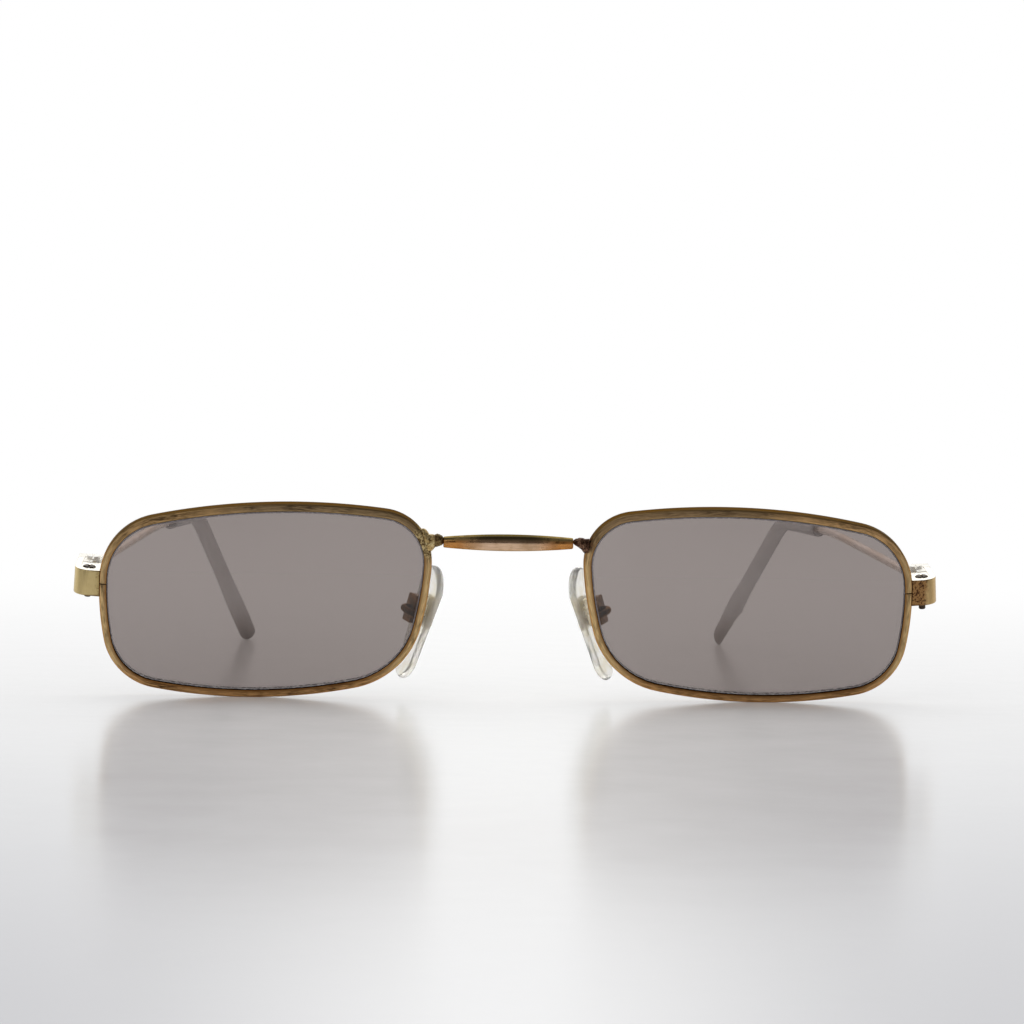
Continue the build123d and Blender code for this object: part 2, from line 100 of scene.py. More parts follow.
def add_node(tree, kind, inputs=(), output=0, **settings):
    """Adds a node and gives back one of its outputs.

    inputs maps a socket's name or number to a hex colour, a value or another node's output, and
    settings are the node's properties.
    """
    made = tree.nodes.new(kind)
    for name, value in settings.items():
        setattr(made, name, value)
    for key, value in dict(inputs).items():
        if isinstance(value, bpy.types.NodeSocket):
            tree.links.new(value, made.inputs[key])
        elif isinstance(value, str) and value.startswith("#"):
            made.inputs[key].default_value = linear(value)
        else:
            made.inputs[key].default_value = value
    return made.outputs[output]


# A Mix node that goes from the tint in socket 6 to the one in 7
TWO_TINTS = {"data_type": "RGBA", "output": 2}
# A Map Range node that goes smoothly from 0, at the value in socket 1, to 1, at the one in 2, and stops there
EASED = {"interpolation_type": "SMOOTHSTEP"}
TIMES = {"operation": "MULTIPLY"}


def new_material(name):
    """A material: itself, its tree, a function that adds its nodes, its shader and Object coordinates."""
    material = bpy.data.materials.new(name)
    material.use_nodes = True
    tree = material.node_tree
    add = partial(add_node, tree)
    return material, tree, add, tree.nodes["Principled BSDF"], add("ShaderNodeTexCoord", output="Object")


print("red #FF0000 is", linear("#FF0000"))

# %% [markdown]
# ## Table
#
# The table is a sheet of glossy white laminate. Seen at a flat angle it mirrors most of the
# backdrop, so it looks white at its far edge and greyer near the front, and it shows a blurred
# mirror image of the lenses. It could be a thick board, but only its top is ever seen, so one
# square does. The light from the backdrop is painted into its colour as a pale fan that narrows
# towards the front, and painted shade beside the fan darkens it further towards the front.

# %% Table top
HALF_TABLE = 3.0  # metres
# A fan of light is painted into the table's colour
FAN_X, FAN_Y = -18.0, -559.47  # the fan of light starts here
FAN_SLOPE = 0.0369  # and runs back with this step aside
corners = [(x * HALF_TABLE, y * HALF_TABLE, 0) for x, y in ((-1, -1), (1, -1), (1, 1), (-1, 1))]
table_mesh = bpy.data.meshes.new("table")
table_mesh.from_pydata(corners, [], [(0, 1, 2, 3)])
table = bpy.data.objects.new("table", table_mesh)
bpy.context.collection.objects.link(table)
print("table is", 2 * HALF_TABLE, "m wide")

# %% Laminate, pressed against a polished plate: nearly a mirror, with wiping smears
laminate, tree, add, shader, coordinates = new_material("glossy_white_laminate")
# Painted light and shade in the base colour: a pale fan of light from the backdrop, with painted shade beside
# it that grows darker towards the front
across = add("ShaderNodeSeparateXYZ", {0: coordinates}, "X")
along = add("ShaderNodeSeparateXYZ", {0: coordinates}, "Y")
ahead = add("ShaderNodeMath", {0: along, 1: FAN_Y * MM}, operation="SUBTRACT")
sideways = add("ShaderNodeMath", {0: across, 1: FAN_X * MM}, operation="SUBTRACT")
slope = add("ShaderNodeMath", {0: sideways, 1: ahead}, operation="DIVIDE")
turned = add("ShaderNodeMath", {0: slope, 1: FAN_SLOPE}, operation="SUBTRACT")
turned = add("ShaderNodeMath", {0: turned}, operation="ABSOLUTE")
painted_shade_beside_fan = add("ShaderNodeMapRange", {0: turned, 1: 0.0, 2: 0.15}, **EASED)
opened = add("ShaderNodeMapRange", {0: ahead, 1: 50 * MM, 2: 240 * MM}, **EASED)
painted_shade_beside_fan = add("ShaderNodeMath", {0: painted_shade_beside_fan, 1: opened}, **TIMES)
near = add("ShaderNodeMapRange", {0: along, 1: -30 * MM, 2: -330 * MM}, **EASED)
painted_light_in_fan = add("ShaderNodeMix", {0: near, 6: "#F4F4F3", 7: "#F1F1F2"}, **TWO_TINTS)
painted_shade_beside_tint = add("ShaderNodeMix", {0: near, 6: "#E6E6E7", 7: "#B4B4B9"}, **TWO_TINTS)
pale = add("ShaderNodeMix", {0: painted_shade_beside_fan, 6: painted_light_in_fan, 7: painted_shade_beside_tint}, **TWO_TINTS)
tree.links.new(pale, shader.inputs["Base Color"])
# Wiping leaves smears a finger wide in the gloss
blobs = {"Vector": coordinates, "Scale": 1 / (14 * MM), "Detail": 4, "Roughness": 0.6}
smears = add("ShaderNodeTexNoise", blobs)
gloss = add("ShaderNodeMath", {0: smears, 1: 0.08, 2: 0.14}, operation="MULTIPLY_ADD")
tree.links.new(gloss, shader.inputs["Roughness"])
# The resin dries with a skin like orange peel, half a millimetre from dimple to dimple
blobs = {"Vector": coordinates, "Scale": 1 / (0.5 * MM), "Detail": 2, "Roughness": 0.55}
peel = add("ShaderNodeTexNoise", blobs)
tree.links.new(add("ShaderNodeBump", {"Height": peel, "Distance": 0.0015 * MM}), shader.inputs["Normal"])
# Far from the object the table brightens until it melts into the backdrop, also as seen through the lenses
far_off = add("ShaderNodeVectorMath", {0: coordinates}, "Value", operation="LENGTH")
behind = add("ShaderNodeMapRange", {0: along, 1: -90 * MM, 2: 280 * MM}, **EASED)
around = add("ShaderNodeMapRange", {0: far_off, 1: 500 * MM, 2: 1300 * MM}, **EASED)
far = add("ShaderNodeMath", {0: behind, 1: around}, operation="MAXIMUM")
camera_ray = add("ShaderNodeLightPath", output="Is Camera Ray")
through_ray = add("ShaderNodeLightPath", output="Is Transmission Ray")
seen = add("ShaderNodeMath", {0: camera_ray, 1: through_ray}, operation="MAXIMUM")
melt = add("ShaderNodeMath", {0: far, 1: seen}, **TIMES)
white = add("ShaderNodeEmission", {"Color": "#FFFFFF", "Strength": 1.0})
top = add("ShaderNodeMixShader", {0: melt, 1: shader.outputs[0], 2: white})
tree.links.new(top, tree.nodes["Material Output"].inputs["Surface"])
table_mesh.materials.append(laminate)
print("laminate:", len(tree.nodes), "nodes")

# %% [markdown]
# ## Backdrop and light
#
# The pair was lit from behind, by a bright white backdrop that ends overhead. The backdrop is
# the world itself. What is seen directly is plain white. Shiny things mirror the white behind
# them and the dark of the room on the camera's side and overhead, which gives the metal its
# contrast. Matt things are lit by a whole pale room. Two large weak lamps soften the shadows.


# %% World and lamps
world = bpy.data.worlds.new("studio")
bpy.context.scene.world = world
world.use_nodes = True
tree = world.node_tree
add = partial(add_node, tree)
direction = add("ShaderNodeTexCoord", output="Generated")
towards_back = add("ShaderNodeSeparateXYZ", {0: direction}, "Y")
upwards = add("ShaderNodeSeparateXYZ", {0: direction}, "Z")
backdrop = add("ShaderNodeMath", {0: upwards, 1: -0.5, 2: towards_back}, operation="MULTIPLY_ADD")
lit = add("ShaderNodeMapRange", {0: backdrop, 1: -0.3, 2: 0.3}, **EASED)
mirrored_room = add("ShaderNodeMix", {0: lit, 6: "#5E5B57", 7: "#FFFFFF"}, **TWO_TINTS)
overhead = add("ShaderNodeMapRange", {0: upwards, 1: -0.1, 2: 0.35}, **EASED)
lit_or_overhead = add("ShaderNodeMath", {0: lit, 1: overhead}, operation="MAXIMUM")
pale_room = add("ShaderNodeMix", {0: lit_or_overhead, 6: "#807E7C", 7: "#E4E4E4"}, **TWO_TINTS)
glossy_ray = add("ShaderNodeLightPath", output="Is Glossy Ray")
around_it = add("ShaderNodeMix", {0: glossy_ray, 6: pale_room, 7: mirrored_room}, **TWO_TINTS)
camera_ray = add("ShaderNodeLightPath", output="Is Camera Ray")
through_ray = add("ShaderNodeLightPath", output="Is Transmission Ray")
seen = add("ShaderNodeMath", {0: camera_ray, 1: through_ray}, operation="MAXIMUM")
background = tree.nodes["Background"]
sky = add("ShaderNodeMix", {0: seen, 6: around_it, 7: "#FFFFFF"}, **TWO_TINTS)
tree.links.new(sky, background.inputs["Color"])
background.inputs["Strength"].default_value = 1.0


def soft_lamp(name, place_mm, aim_mm, size_mm, watts):
    """A square area lamp at a place, turned to a point."""
    lamp = bpy.data.lights.new(name, "AREA")
    lamp.size = size_mm * MM
    lamp.energy = watts
    holder = bpy.data.objects.new(name, lamp)
    bpy.context.collection.objects.link(holder)
    holder.location = Vector(place_mm) * MM
    holder.rotation_euler = (Vector(aim_mm) - Vector(place_mm)).to_track_quat("-Z", "Y").to_euler()


soft_lamp("behind", (-60, 520, 760), (0, -100, 10), 1200, 2.2)
soft_lamp("fill", (-420, -700, 420), (0, -80, 10), 600, 0.8)
bpy.context.scene.view_settings.view_transform = "Standard"

# %% [markdown]
# ## Where the front stands
#
# The front leans forward by 11 degrees, so its own directions are tilted: up along the front, and
# back through it. Every place on the front is given as across, up and back, from the point
# midway between the two lenses. The same sizes as in the solid model are used.

# %% The front's directions
LEAN = radians(11)
SIDES = {"left": 1, "right": -1}  # the wearer's, so the left is at +X
front_up = Vector((0, -sin(LEAN), cos(LEAN)))
front_back = Vector((0, cos(LEAN), sin(LEAN)))
front_centre = Vector((0, FRONT_Y, 14.3558))
half_width, half_height = 24.525, 14.7
gap_between_rims = 22.25
eye_centre = gap_between_rims / 2 + half_width
curve_radius = 110.0
rim_width, rim_depth = 1.15, 2.0


def sag(reach):
    """How far the base curve falls back at this distance from a lens's centre."""
    return curve_radius - sqrt(curve_radius**2 - reach**2)


def on_side(point, side):
    """Metres of a point given in millimetres for the wearer's left, on either side."""
    return Vector((side * point.x, point.y, point.z)) * MM


def eye_matrix(side):
    """From a lens's own across, up and back, in metres, to its place on that side of the front."""
    centre = on_side(front_centre + Vector((eye_centre, 0, 0)), side)
    columns = [Vector((side, 0, 0)), front_up, front_back, centre]
    return Matrix([[column[row] for column in columns] for row in range(3)] + [[0, 0, 0, 1]])


print("lens centre", [round(c, 4) for c in eye_matrix(1).translation])

# %% [markdown]
# ## Helpers for meshes
#
# A skin is a mesh through rings of points, like hoops under cloth. It suits all the pieces that
# keep one kind of section along a line: lenses, ear tips, the bridge and the pads. Each finished
# piece rides on the body that carries it, gets its material, and replaces the plain solid that
# it stands for.


# %% Skins and places
def turns(count):
    """The angles of so many points round a ring."""
    return [2 * pi * i / count for i in range(count)]


def finish_mesh(mesh, smooth_below=40):
    """Smooth shading, with creases where two faces meet at more than smooth_below degrees."""
    mesh.shade_smooth()
    mesh.set_sharp_from_angle(angle=radians(smooth_below))
    return mesh


def skin(name, rings, smooth_below=40):
    """A closed mesh through rings of as many points each, in metres, with a fan over both ends."""
    body = bmesh.new()
    rows = [[body.verts.new(p) for p in ring] for ring in rings]
    for lower, upper in zip(rows, rows[1:]):
        for i in range(len(lower)):
            j = (i + 1) % len(lower)
            body.faces.new((lower[i], lower[j], upper[j], upper[i]))
    for row in (rows[0], rows[-1]):
        pole = body.verts.new(sum((v.co for v in row), Vector()) / len(row))
        for i in range(len(row)):
            body.faces.new((row[i], row[(i + 1) % len(row)], pole))
    bmesh.ops.recalc_face_normals(body, faces=body.faces)
    mesh = bpy.data.meshes.new(name)
    body.to_mesh(mesh)
    body.free()
    return finish_mesh(mesh, smooth_below)


def put(name, mesh, material, body, node):
    """Adds a piece to the scene on its body, with its material and the solid it stands for."""
    piece = bpy.data.objects.new(name, mesh)
    bpy.context.collection.objects.link(piece)
    mesh.materials.clear()
    mesh.materials.append(material)
    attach(piece, body)
    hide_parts(node)


print("a ring of four has angles", [round(t, 2) for t in turns(4)])

# %% [markdown]
# ## Gold plate that has seen years of wear
#
# The frame is nickel silver, a pale copper alloy, with a thin electroplated layer of gold. Years
# of skin and sweat leave clouds of brown tarnish, dark pits where the plate is through, and
# fine scratches along the wire. Metal has no colour of its own but what it mirrors, so the
# pattern goes into its tint and its roughness, with a trace of bump at the pits. One function
# builds the metal, and takes as its paint another function that lays out the tints.


# %% Worn metal and a plain paint
def worn_metal(
    name, paint, shine=0.28, wear=0.12, grain_mm=0.25, relief_mm=0.006, metallic=1.0, grazing="#FFFFFF"
):
    """Metal tinted by a paint, with a fine grain; grazing tints what it mirrors at a flat angle."""
    material, tree, add, shader, coordinates = new_material(name)
    shader.inputs["Metallic"].default_value = metallic
    shader.inputs["Specular Tint"].default_value = linear(grazing)
    tree.links.new(paint(add, coordinates), shader.inputs["Base Color"])
    blobs = {"Vector": coordinates, "Scale": 1 / (grain_mm * MM), "Detail": 3, "Roughness": 0.6}
    fine = add("ShaderNodeTexNoise", blobs)
    polish = shine(add, coordinates) if callable(shine) else shine
    rough = add("ShaderNodeMath", {0: fine, 1: wear, 2: polish}, operation="MULTIPLY_ADD")
    tree.links.new(rough, shader.inputs["Roughness"])
    bump = add("ShaderNodeBump", {"Height": fine, "Distance": relief_mm * MM})
    tree.links.new(bump, shader.inputs["Normal"])
    return material


def facing_up(add, low=0.6, high=0.9):
    """1 where a face looks up, 0 where it looks forward or down."""
    normal = add("ShaderNodeNewGeometry", output="Normal")
    upward = add("ShaderNodeSeparateXYZ", {0: normal}, "Z")
    return add("ShaderNodeMapRange", {0: upward, 1: low, 2: high}, **EASED)


def from_middle(add, coordinates):
    """How far a point is from the middle of the pair, to either side, in metres."""
    across = add("ShaderNodeSeparateXYZ", {0: coordinates}, "X")
    return add("ShaderNodeMath", {0: across}, operation="ABSOLUTE")


def clouded(clean, dull, specks, cloud_mm=2.0, speck_mm=0.22, speck_level=0.6, bare_top=""):
    """A paint: two tints in soft clouds with specks of tarnish, perhaps filed bare on top."""

    def paint(add, coordinates):
        blobs = {"Vector": coordinates, "Scale": 1 / (cloud_mm * MM), "Detail": 4, "Roughness": 0.55}
        clouds = add("ShaderNodeMapRange", {0: add("ShaderNodeTexNoise", blobs), 1: 0.35, 2: 0.65}, **EASED)
        tint = add("ShaderNodeMix", {0: clouds, 6: clean, 7: dull}, **TWO_TINTS)
        blobs = {"Vector": coordinates, "Scale": 1 / (speck_mm * MM), "Detail": 3, "Roughness": 0.55}
        dots = add("ShaderNodeTexNoise", blobs)
        dots = add("ShaderNodeMapRange", {0: dots, 1: speck_level, 2: speck_level + 0.1}, **EASED)
        tint = add("ShaderNodeMix", {0: dots, 6: tint, 7: specks}, **TWO_TINTS)
        if bare_top:
            tint = add("ShaderNodeMix", {0: facing_up(add), 6: tint, 7: bare_top}, **TWO_TINTS)
        return tint

    return paint


def beyond(inner, outer, edge_mm, blend_mm=0.5):
    """A paint that changes from one paint or tint to another at a distance from the middle of the pair."""

    def paint(add, coordinates):
        edge = {0: from_middle(add, coordinates), 1: edge_mm * MM, 2: (edge_mm + blend_mm) * MM}
        past = add("ShaderNodeMapRange", edge, **EASED)
        near, far = [side(add, coordinates) if callable(side) else side for side in (inner, outer)]
        return add("ShaderNodeMix", {0: past, 6: near, 7: far}, **TWO_TINTS)

    return paint


print("paints ready")

# %% [markdown]
# ## The rims' plate
#
# A rim is drawn wire, bent round and soldered. Its colour holds painted reflections: olive above,
# where it mirrors the dark overhead, gold at its sides and brown below. Both edges of its face get
# a painted copper gold highlight, its side towards the lens and its corner at the lens get painted
# shade, tarnish lies along its middle, and fine lines run along it from the drawing die. The rim's
# mesh stores how far round each point lies and where it sits in the section, and the paint follows both.


# %% A paint for the rims
def rim_paint(top_nasal_reflection, top_temporal_reflection, joint, stain_mm, stain_dark, stain_pale, tarnish):
    """A paint for a rim, with a stain of some size round the place where the bridge was soldered to it."""

    def paint(add, coordinates):
        # Painted reflection: the top is tinted olive for the dark overhead that it mirrors, the sides gold
        # and the bottom brown
        height = add("ShaderNodeSeparateXYZ", {0: coordinates}, "Z")
        high = add("ShaderNodeMapRange", {0: height, 1: 19 * MM, 2: 25 * MM}, **EASED)
        low = add("ShaderNodeMapRange", {0: height, 1: 1.5 * MM, 2: 6 * MM}, **EASED)
        outer_half = {0: from_middle(add, coordinates), 1: 35 * MM, 2: 45 * MM}
        temporal = add("ShaderNodeMapRange", outer_half, **EASED)
        top = add("ShaderNodeMix", {0: temporal, 6: top_nasal_reflection, 7: top_temporal_reflection}, **TWO_TINTS)
        below = add("ShaderNodeMix", {0: low, 6: "#CE9E68", 7: "#D8B884"}, **TWO_TINTS)
        face = add("ShaderNodeMix", {0: high, 6: below, 7: top}, **TWO_TINTS)
        # Fine lines: the pattern is stretched along the wire and tight across it
        around = add("ShaderNodeAttribute", output="Fac", attribute_name="around")
        section = add("ShaderNodeAttribute", output="Vector", attribute_name="section")
        outward = add("ShaderNodeSeparateXYZ", {0: section}, "X")
        backward = add("ShaderNodeSeparateXYZ", {0: section}, "Y")
        place = add("ShaderNodeCombineXYZ", {0: around, 1: outward, 2: backward})
        place = add("ShaderNodeVectorMath", {0: place, 1: (14 * MM, 0.5 * MM, 0.9 * MM)}, **TIMES)
        blobs = {"Vector": place, "Scale": 1 / (0.16 * MM), "Detail": 3, "Roughness": 0.6}
        lines = add("ShaderNodeMapRange", {0: add("ShaderNodeTexNoise", blobs), 1: 0.35, 2: 0.65}, **EASED)
        faint = add("ShaderNodeMath", {0: lines, 1: 0.36}, **TIMES)
        face = add("ShaderNodeMix", {0: faint, 6: face, 7: "#46341F"}, **TWO_TINTS)
        # Tarnish gathers in patches about a centimetre long
        length = add("ShaderNodeMath", {0: around, 1: 120 * MM}, **TIMES)
        place = add("ShaderNodeCombineXYZ", {0: length})
        blobs = {"Vector": place, "Scale": 1 / (9 * MM), "Detail": 3, "Roughness": 0.6}
        patches = add("ShaderNodeMapRange", {0: add("ShaderNodeTexNoise", blobs), 1: 0.42, 2: 0.6}, **EASED)
        dark = add("ShaderNodeMath", {0: patches, 1: lines}, **TIMES)
        dark = add("ShaderNodeMath", {0: dark, 1: tarnish}, **TIMES)
        face = add("ShaderNodeMix", {0: dark, 6: face, 7: "#33261A"}, **TWO_TINTS)
        # Both edges of the face get a painted copper gold highlight, where the round wire catches the light
        low_edge_highlight = add("ShaderNodeMix", {0: low, 6: "#C98F50", 7: "#D69C56"}, **TWO_TINTS)
        edge = add("ShaderNodeMix", {0: high, 6: low_edge_highlight, 7: "#A28458"}, **TWO_TINTS)
        off_centre = add("ShaderNodeMath", {0: outward}, operation="ABSOLUTE")
        painted_edge_highlight = add("ShaderNodeMapRange", {0: off_centre, 1: 0.5, 2: 0.85}, **EASED)
        painted_edge_highlight = add("ShaderNodeMath", {0: painted_edge_highlight, 1: 0.7}, **TIMES)
        face = add("ShaderNodeMix", {0: painted_edge_highlight, 6: face, 7: edge}, **TWO_TINTS)
        # Towards the lens the wire turns away from the light, and painted shade makes its gold redder and
        # darker
        inside = add("ShaderNodeMapRange", {0: outward, 1: 0.1, 2: -0.7}, **EASED)
        not_high = add("ShaderNodeMath", {0: 1.0, 1: high}, operation="SUBTRACT")
        painted_shade_inside = add("ShaderNodeMath", {0: inside, 1: not_high}, **TIMES)
        painted_shade_inside = add("ShaderNodeMath", {0: painted_shade_inside, 1: 0.6}, **TIMES)
        face = add("ShaderNodeMix", {0: painted_shade_inside, 6: face, 7: "#7A4F28"}, **TWO_TINTS)
        # The outer face gets painted reflection too, darker on top
        outer = add("ShaderNodeMix", {0: high, 6: "#B08250", 7: "#746248"}, **TWO_TINTS)
        outside = add("ShaderNodeMapRange", {0: outward, 1: 0.82, 2: 0.97}, **EASED)
        face = add("ShaderNodeMix", {0: outside, 6: face, 7: outer}, **TWO_TINTS)
        # Painted shade darkens the corner between rim and lens
        corner = add("ShaderNodeMapRange", {0: outward, 1: -0.88, 2: -0.99}, **EASED)
        face = add("ShaderNodeMix", {0: corner, 6: face, 7: "#2A1E16"}, **TWO_TINTS)
        # Soldering burnt the plate round the joint, and left a crust with a ragged border
        apart = add("ShaderNodeVectorMath", {0: coordinates, 1: joint * MM}, "Value", operation="DISTANCE")
        blobs = {"Vector": coordinates, "Scale": 1 / (1.5 * MM), "Detail": 3, "Roughness": 0.55}
        ragged = {0: add("ShaderNodeTexNoise", blobs), 1: 2 * MM, 2: apart}
        apart = add("ShaderNodeMath", ragged, operation="MULTIPLY_ADD")
        blobs = {"Vector": coordinates, "Scale": 1 / (0.3 * MM), "Detail": 3, "Roughness": 0.7}
        crust = add("ShaderNodeMapRange", {0: add("ShaderNodeTexNoise", blobs), 1: 0.42, 2: 0.58}, **EASED)
        stain = add("ShaderNodeMix", {0: crust, 6: stain_dark, 7: stain_pale}, **TWO_TINTS)
        clean = add("ShaderNodeMapRange", {0: apart, 1: stain_mm * MM, 2: (stain_mm + 1.2) * MM}, **EASED)
        return add("ShaderNodeMix", {0: clean, 6: stain, 7: face}, **TWO_TINTS)

    return paint


joint_left, joint_right = Vector((11.6, -58.6, 23.4)), Vector((-11.6, -58.6, 23.4))
rim_left = rim_paint("#A08562", "#DDB27C", joint_left, 1.5, "#3A261C", "#6A4E34", 0.5)
rim_right = rim_paint("#A48A66", "#C09C6C", joint_right, 3.0, "#5A442A", "#CDB684", 0.8)
print("joints at", joint_left, joint_right)

# %% [markdown]
# ## The bridge's plate
#
# The bridge is turned from bar and plated. Fingers polish its middle, where the gold is worn to
# a rose tint, and leave its ends dull and copper coloured. Along its top it is painted olive, as a
# painted reflection of the dark overhead.


# %% A paint and a polish for the bridge
def bridge_paint(add, coordinates):
    """Rose gold in the middle, copper towards the ends, with turning lines and a painted olive reflection
    along the top.
    """
    ends = add("ShaderNodeMapRange", {0: from_middle(add, coordinates), 1: 3 * MM, 2: 8 * MM}, **EASED)
    tint = add("ShaderNodeMix", {0: ends, 6: "#DDBB9E", 7: "#CB8D4E"}, **TWO_TINTS)
    blobs = {"Vector": coordinates, "Scale": 1 / (2.2 * MM), "Detail": 4, "Roughness": 0.55}
    clouds = add("ShaderNodeMapRange", {0: add("ShaderNodeTexNoise", blobs), 1: 0.42, 2: 0.68}, **EASED)
    clouds = add("ShaderNodeMath", {0: clouds, 1: 0.45}, **TIMES)
    tint = add("ShaderNodeMix", {0: clouds, 6: tint, 7: "#9A7448"}, **TWO_TINTS)
    stretched = add("ShaderNodeMapping", {"Vector": coordinates, "Scale": (0.06, 1, 1)})
    blobs = {"Vector": stretched, "Scale": 1 / (0.16 * MM), "Detail": 3, "Roughness": 0.6}
    lines = add("ShaderNodeMapRange", {0: add("ShaderNodeTexNoise", blobs), 1: 0.4, 2: 0.7}, **EASED)
    lines = add("ShaderNodeMath", {0: lines, 1: 0.25}, **TIMES)
    tint = add("ShaderNodeMix", {0: lines, 6: tint, 7: "#6A5236"}, **TWO_TINTS)
    # Painted reflection of the dark overhead along the top
    painted_reflection_along_top = add("ShaderNodeMix", {0: ends, 6: "#6C6042", 7: "#AA9464"}, **TWO_TINTS)
    return add("ShaderNodeMix", {0: facing_up(add, 0.1, 0.6), 6: tint, 7: painted_reflection_along_top}, **TWO_TINTS)


def bridge_shine(add, coordinates):
    """How rough the bridge is: polished in its middle and dull towards its ends."""
    dull = add("ShaderNodeMapRange", {0: from_middle(add, coordinates), 1: 3.5 * MM, 2: 7 * MM}, **EASED)
    blobs = {"Vector": coordinates, "Scale": 1 / (1.2 * MM), "Detail": 3, "Roughness": 0.55}
    ragged = add("ShaderNodeMapRange", {0: add("ShaderNodeTexNoise", blobs), 1: 0.35, 2: 0.6}, **EASED)
    dull = add("ShaderNodeMath", {0: dull, 1: ragged}, **TIMES)
    return add("ShaderNodeMath", {0: dull, 1: 0.4, 2: 0.12}, operation="MULTIPLY_ADD")


print("bridge plate ready")

# %% [markdown]
# ## The end straps' plate
#
# A strap is flat stock, bent round the corner of the front. Its face is mottled where the heat
# of soldering reached it, next to the rim, and cleaner further out. Its top edge was filed bare.


# %% A paint for the end straps
def strap_paint(clean, mottle, specks, mottled_to_mm, speck_level, node):
    """A paint for the strap of that solid: mottled up to a distance from the middle of the pair."""
    (_, _, lowest), (_, _, highest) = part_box(node)

    def paint(add, coordinates):
        upright = add("ShaderNodeMapping", {"Vector": coordinates, "Scale": (1, 1, 0.15)})
        blobs = {"Vector": upright, "Scale": 1 / (0.2 * MM), "Detail": 3, "Roughness": 0.6}
        streaks = add("ShaderNodeMapRange", {0: add("ShaderNodeTexNoise", blobs), 1: 0.35, 2: 0.7}, **EASED)
        streaks = add("ShaderNodeMath", {0: streaks, 1: 0.3}, **TIMES)
        tint = add("ShaderNodeMix", {0: streaks, 6: clean, 7: mottle}, **TWO_TINTS)
        blobs = {"Vector": coordinates, "Scale": 1 / (0.8 * MM), "Detail": 3, "Roughness": 0.55}
        ragged = {0: add("ShaderNodeTexNoise", blobs), 1: 1.2 * MM, 2: from_middle(add, coordinates)}
        reach = add("ShaderNodeMath", ragged, operation="MULTIPLY_ADD")
        outer = {0: reach, 1: mottled_to_mm * MM, 2: (mottled_to_mm + 0.9) * MM}
        outer = add("ShaderNodeMapRange", outer, **EASED)
        blobs = {"Vector": coordinates, "Scale": 1 / (0.28 * MM), "Detail": 3, "Roughness": 0.65}
        dots = {0: add("ShaderNodeTexNoise", blobs), 1: speck_level, 2: speck_level + 0.14}
        dots = add("ShaderNodeMapRange", dots, **EASED)
        burnt = add("ShaderNodeMix", {0: dots, 6: mottle, 7: specks}, **TWO_TINTS)
        tint = add("ShaderNodeMix", {0: outer, 6: burnt, 7: tint}, **TWO_TINTS)
        # Dirt draws a thin line along the upper and lower edge of its face
        height = add("ShaderNodeSeparateXYZ", {0: coordinates}, "Z")
        upper = {0: height, 1: highest - 0.34 * MM, 2: highest - 0.16 * MM}
        upper = add("ShaderNodeMapRange", upper, **EASED)
        lower = {0: height, 1: lowest + 0.34 * MM, 2: lowest + 0.16 * MM}
        lower = add("ShaderNodeMapRange", lower, **EASED)
        lines = add("ShaderNodeMath", {0: upper, 1: lower}, operation="MAXIMUM")
        lines = add("ShaderNodeMath", {0: lines, 1: 0.7}, **TIMES)
        tint = add("ShaderNodeMix", {0: lines, 6: tint, 7: "#6A4A28"}, **TWO_TINTS)
        return add("ShaderNodeMix", {0: facing_up(add), 6: tint, 7: "#F7F2E6"}, **TWO_TINTS)

    return paint


strap_left = strap_paint("#CDB07C", "#A98052", "#4E3220", 62.4, 0.46, "end_strap_left")
strap_right = strap_paint("#D8C28C", "#BFA870", "#7A5A34", 60.6, 0.52, "end_strap_right")

# %% [markdown]
# ## All the metals
#
# Each metal is named for what it is and how its surface came about. The plated ones keep their
# gold where nothing rubs them. Silver solder is never polished, so it is rough and lumpy, and
# crusty at the wearer's right. The hinges were filed after plating, so they show pale metal, and
# they are painted nearly white as painted light so that they stay bright.

# %% Metal finishes
# Silver solder as it froze: brown, rough and pitted
dark_solder = clouded("#8E6E58", "#54382C", "#231613", 0.5, 0.2, 0.5)
# The same on the other side, where a dark ball runs out into a pale crust
ball = clouded("#8E7A50", "#644C30", "#33261A", 0.5, 0.25, 0.55)
crusty = beyond(ball, clouded("#E2CE9C", "#C4A66E", "#6A5030", 0.6, 0.22, 0.52), 10.75, 0.3)
# Gold plate on the closing blocks: dull yellow, with a top that was filed to white metal
block_plate = clouded("#C9AC78", "#9A8052", "#4A3722", bare_top="#F7F2E6")
# Nickel silver, filed: pale and matt, painted nearly white as painted light so that even its shaded faces
# fade into the bright backdrop
filed_and_painted_bright = clouded("#FDFBF6", "#F8F4EA", "#DDD4C2", 1.0, 0.2, 0.7)
# Gold plate darkened by skin: brown and blotched
box_plate = clouded("#A07850", "#644629", "#33241A", 1.0)
# Plated metal seen through vinyl: pearly white with a few brown spots
pearly = clouded("#FAF6EC", "#EDE4CC", "#B08C52", 0.7, 0.25, 0.58)
# Nickel silver, drawn and never plated: a soft pinkish shine with hardly any pattern
bare_wire = clouded("#F3E8E0", "#E6D6C8", "#A8917A", 3.0, 0.2, 0.66)
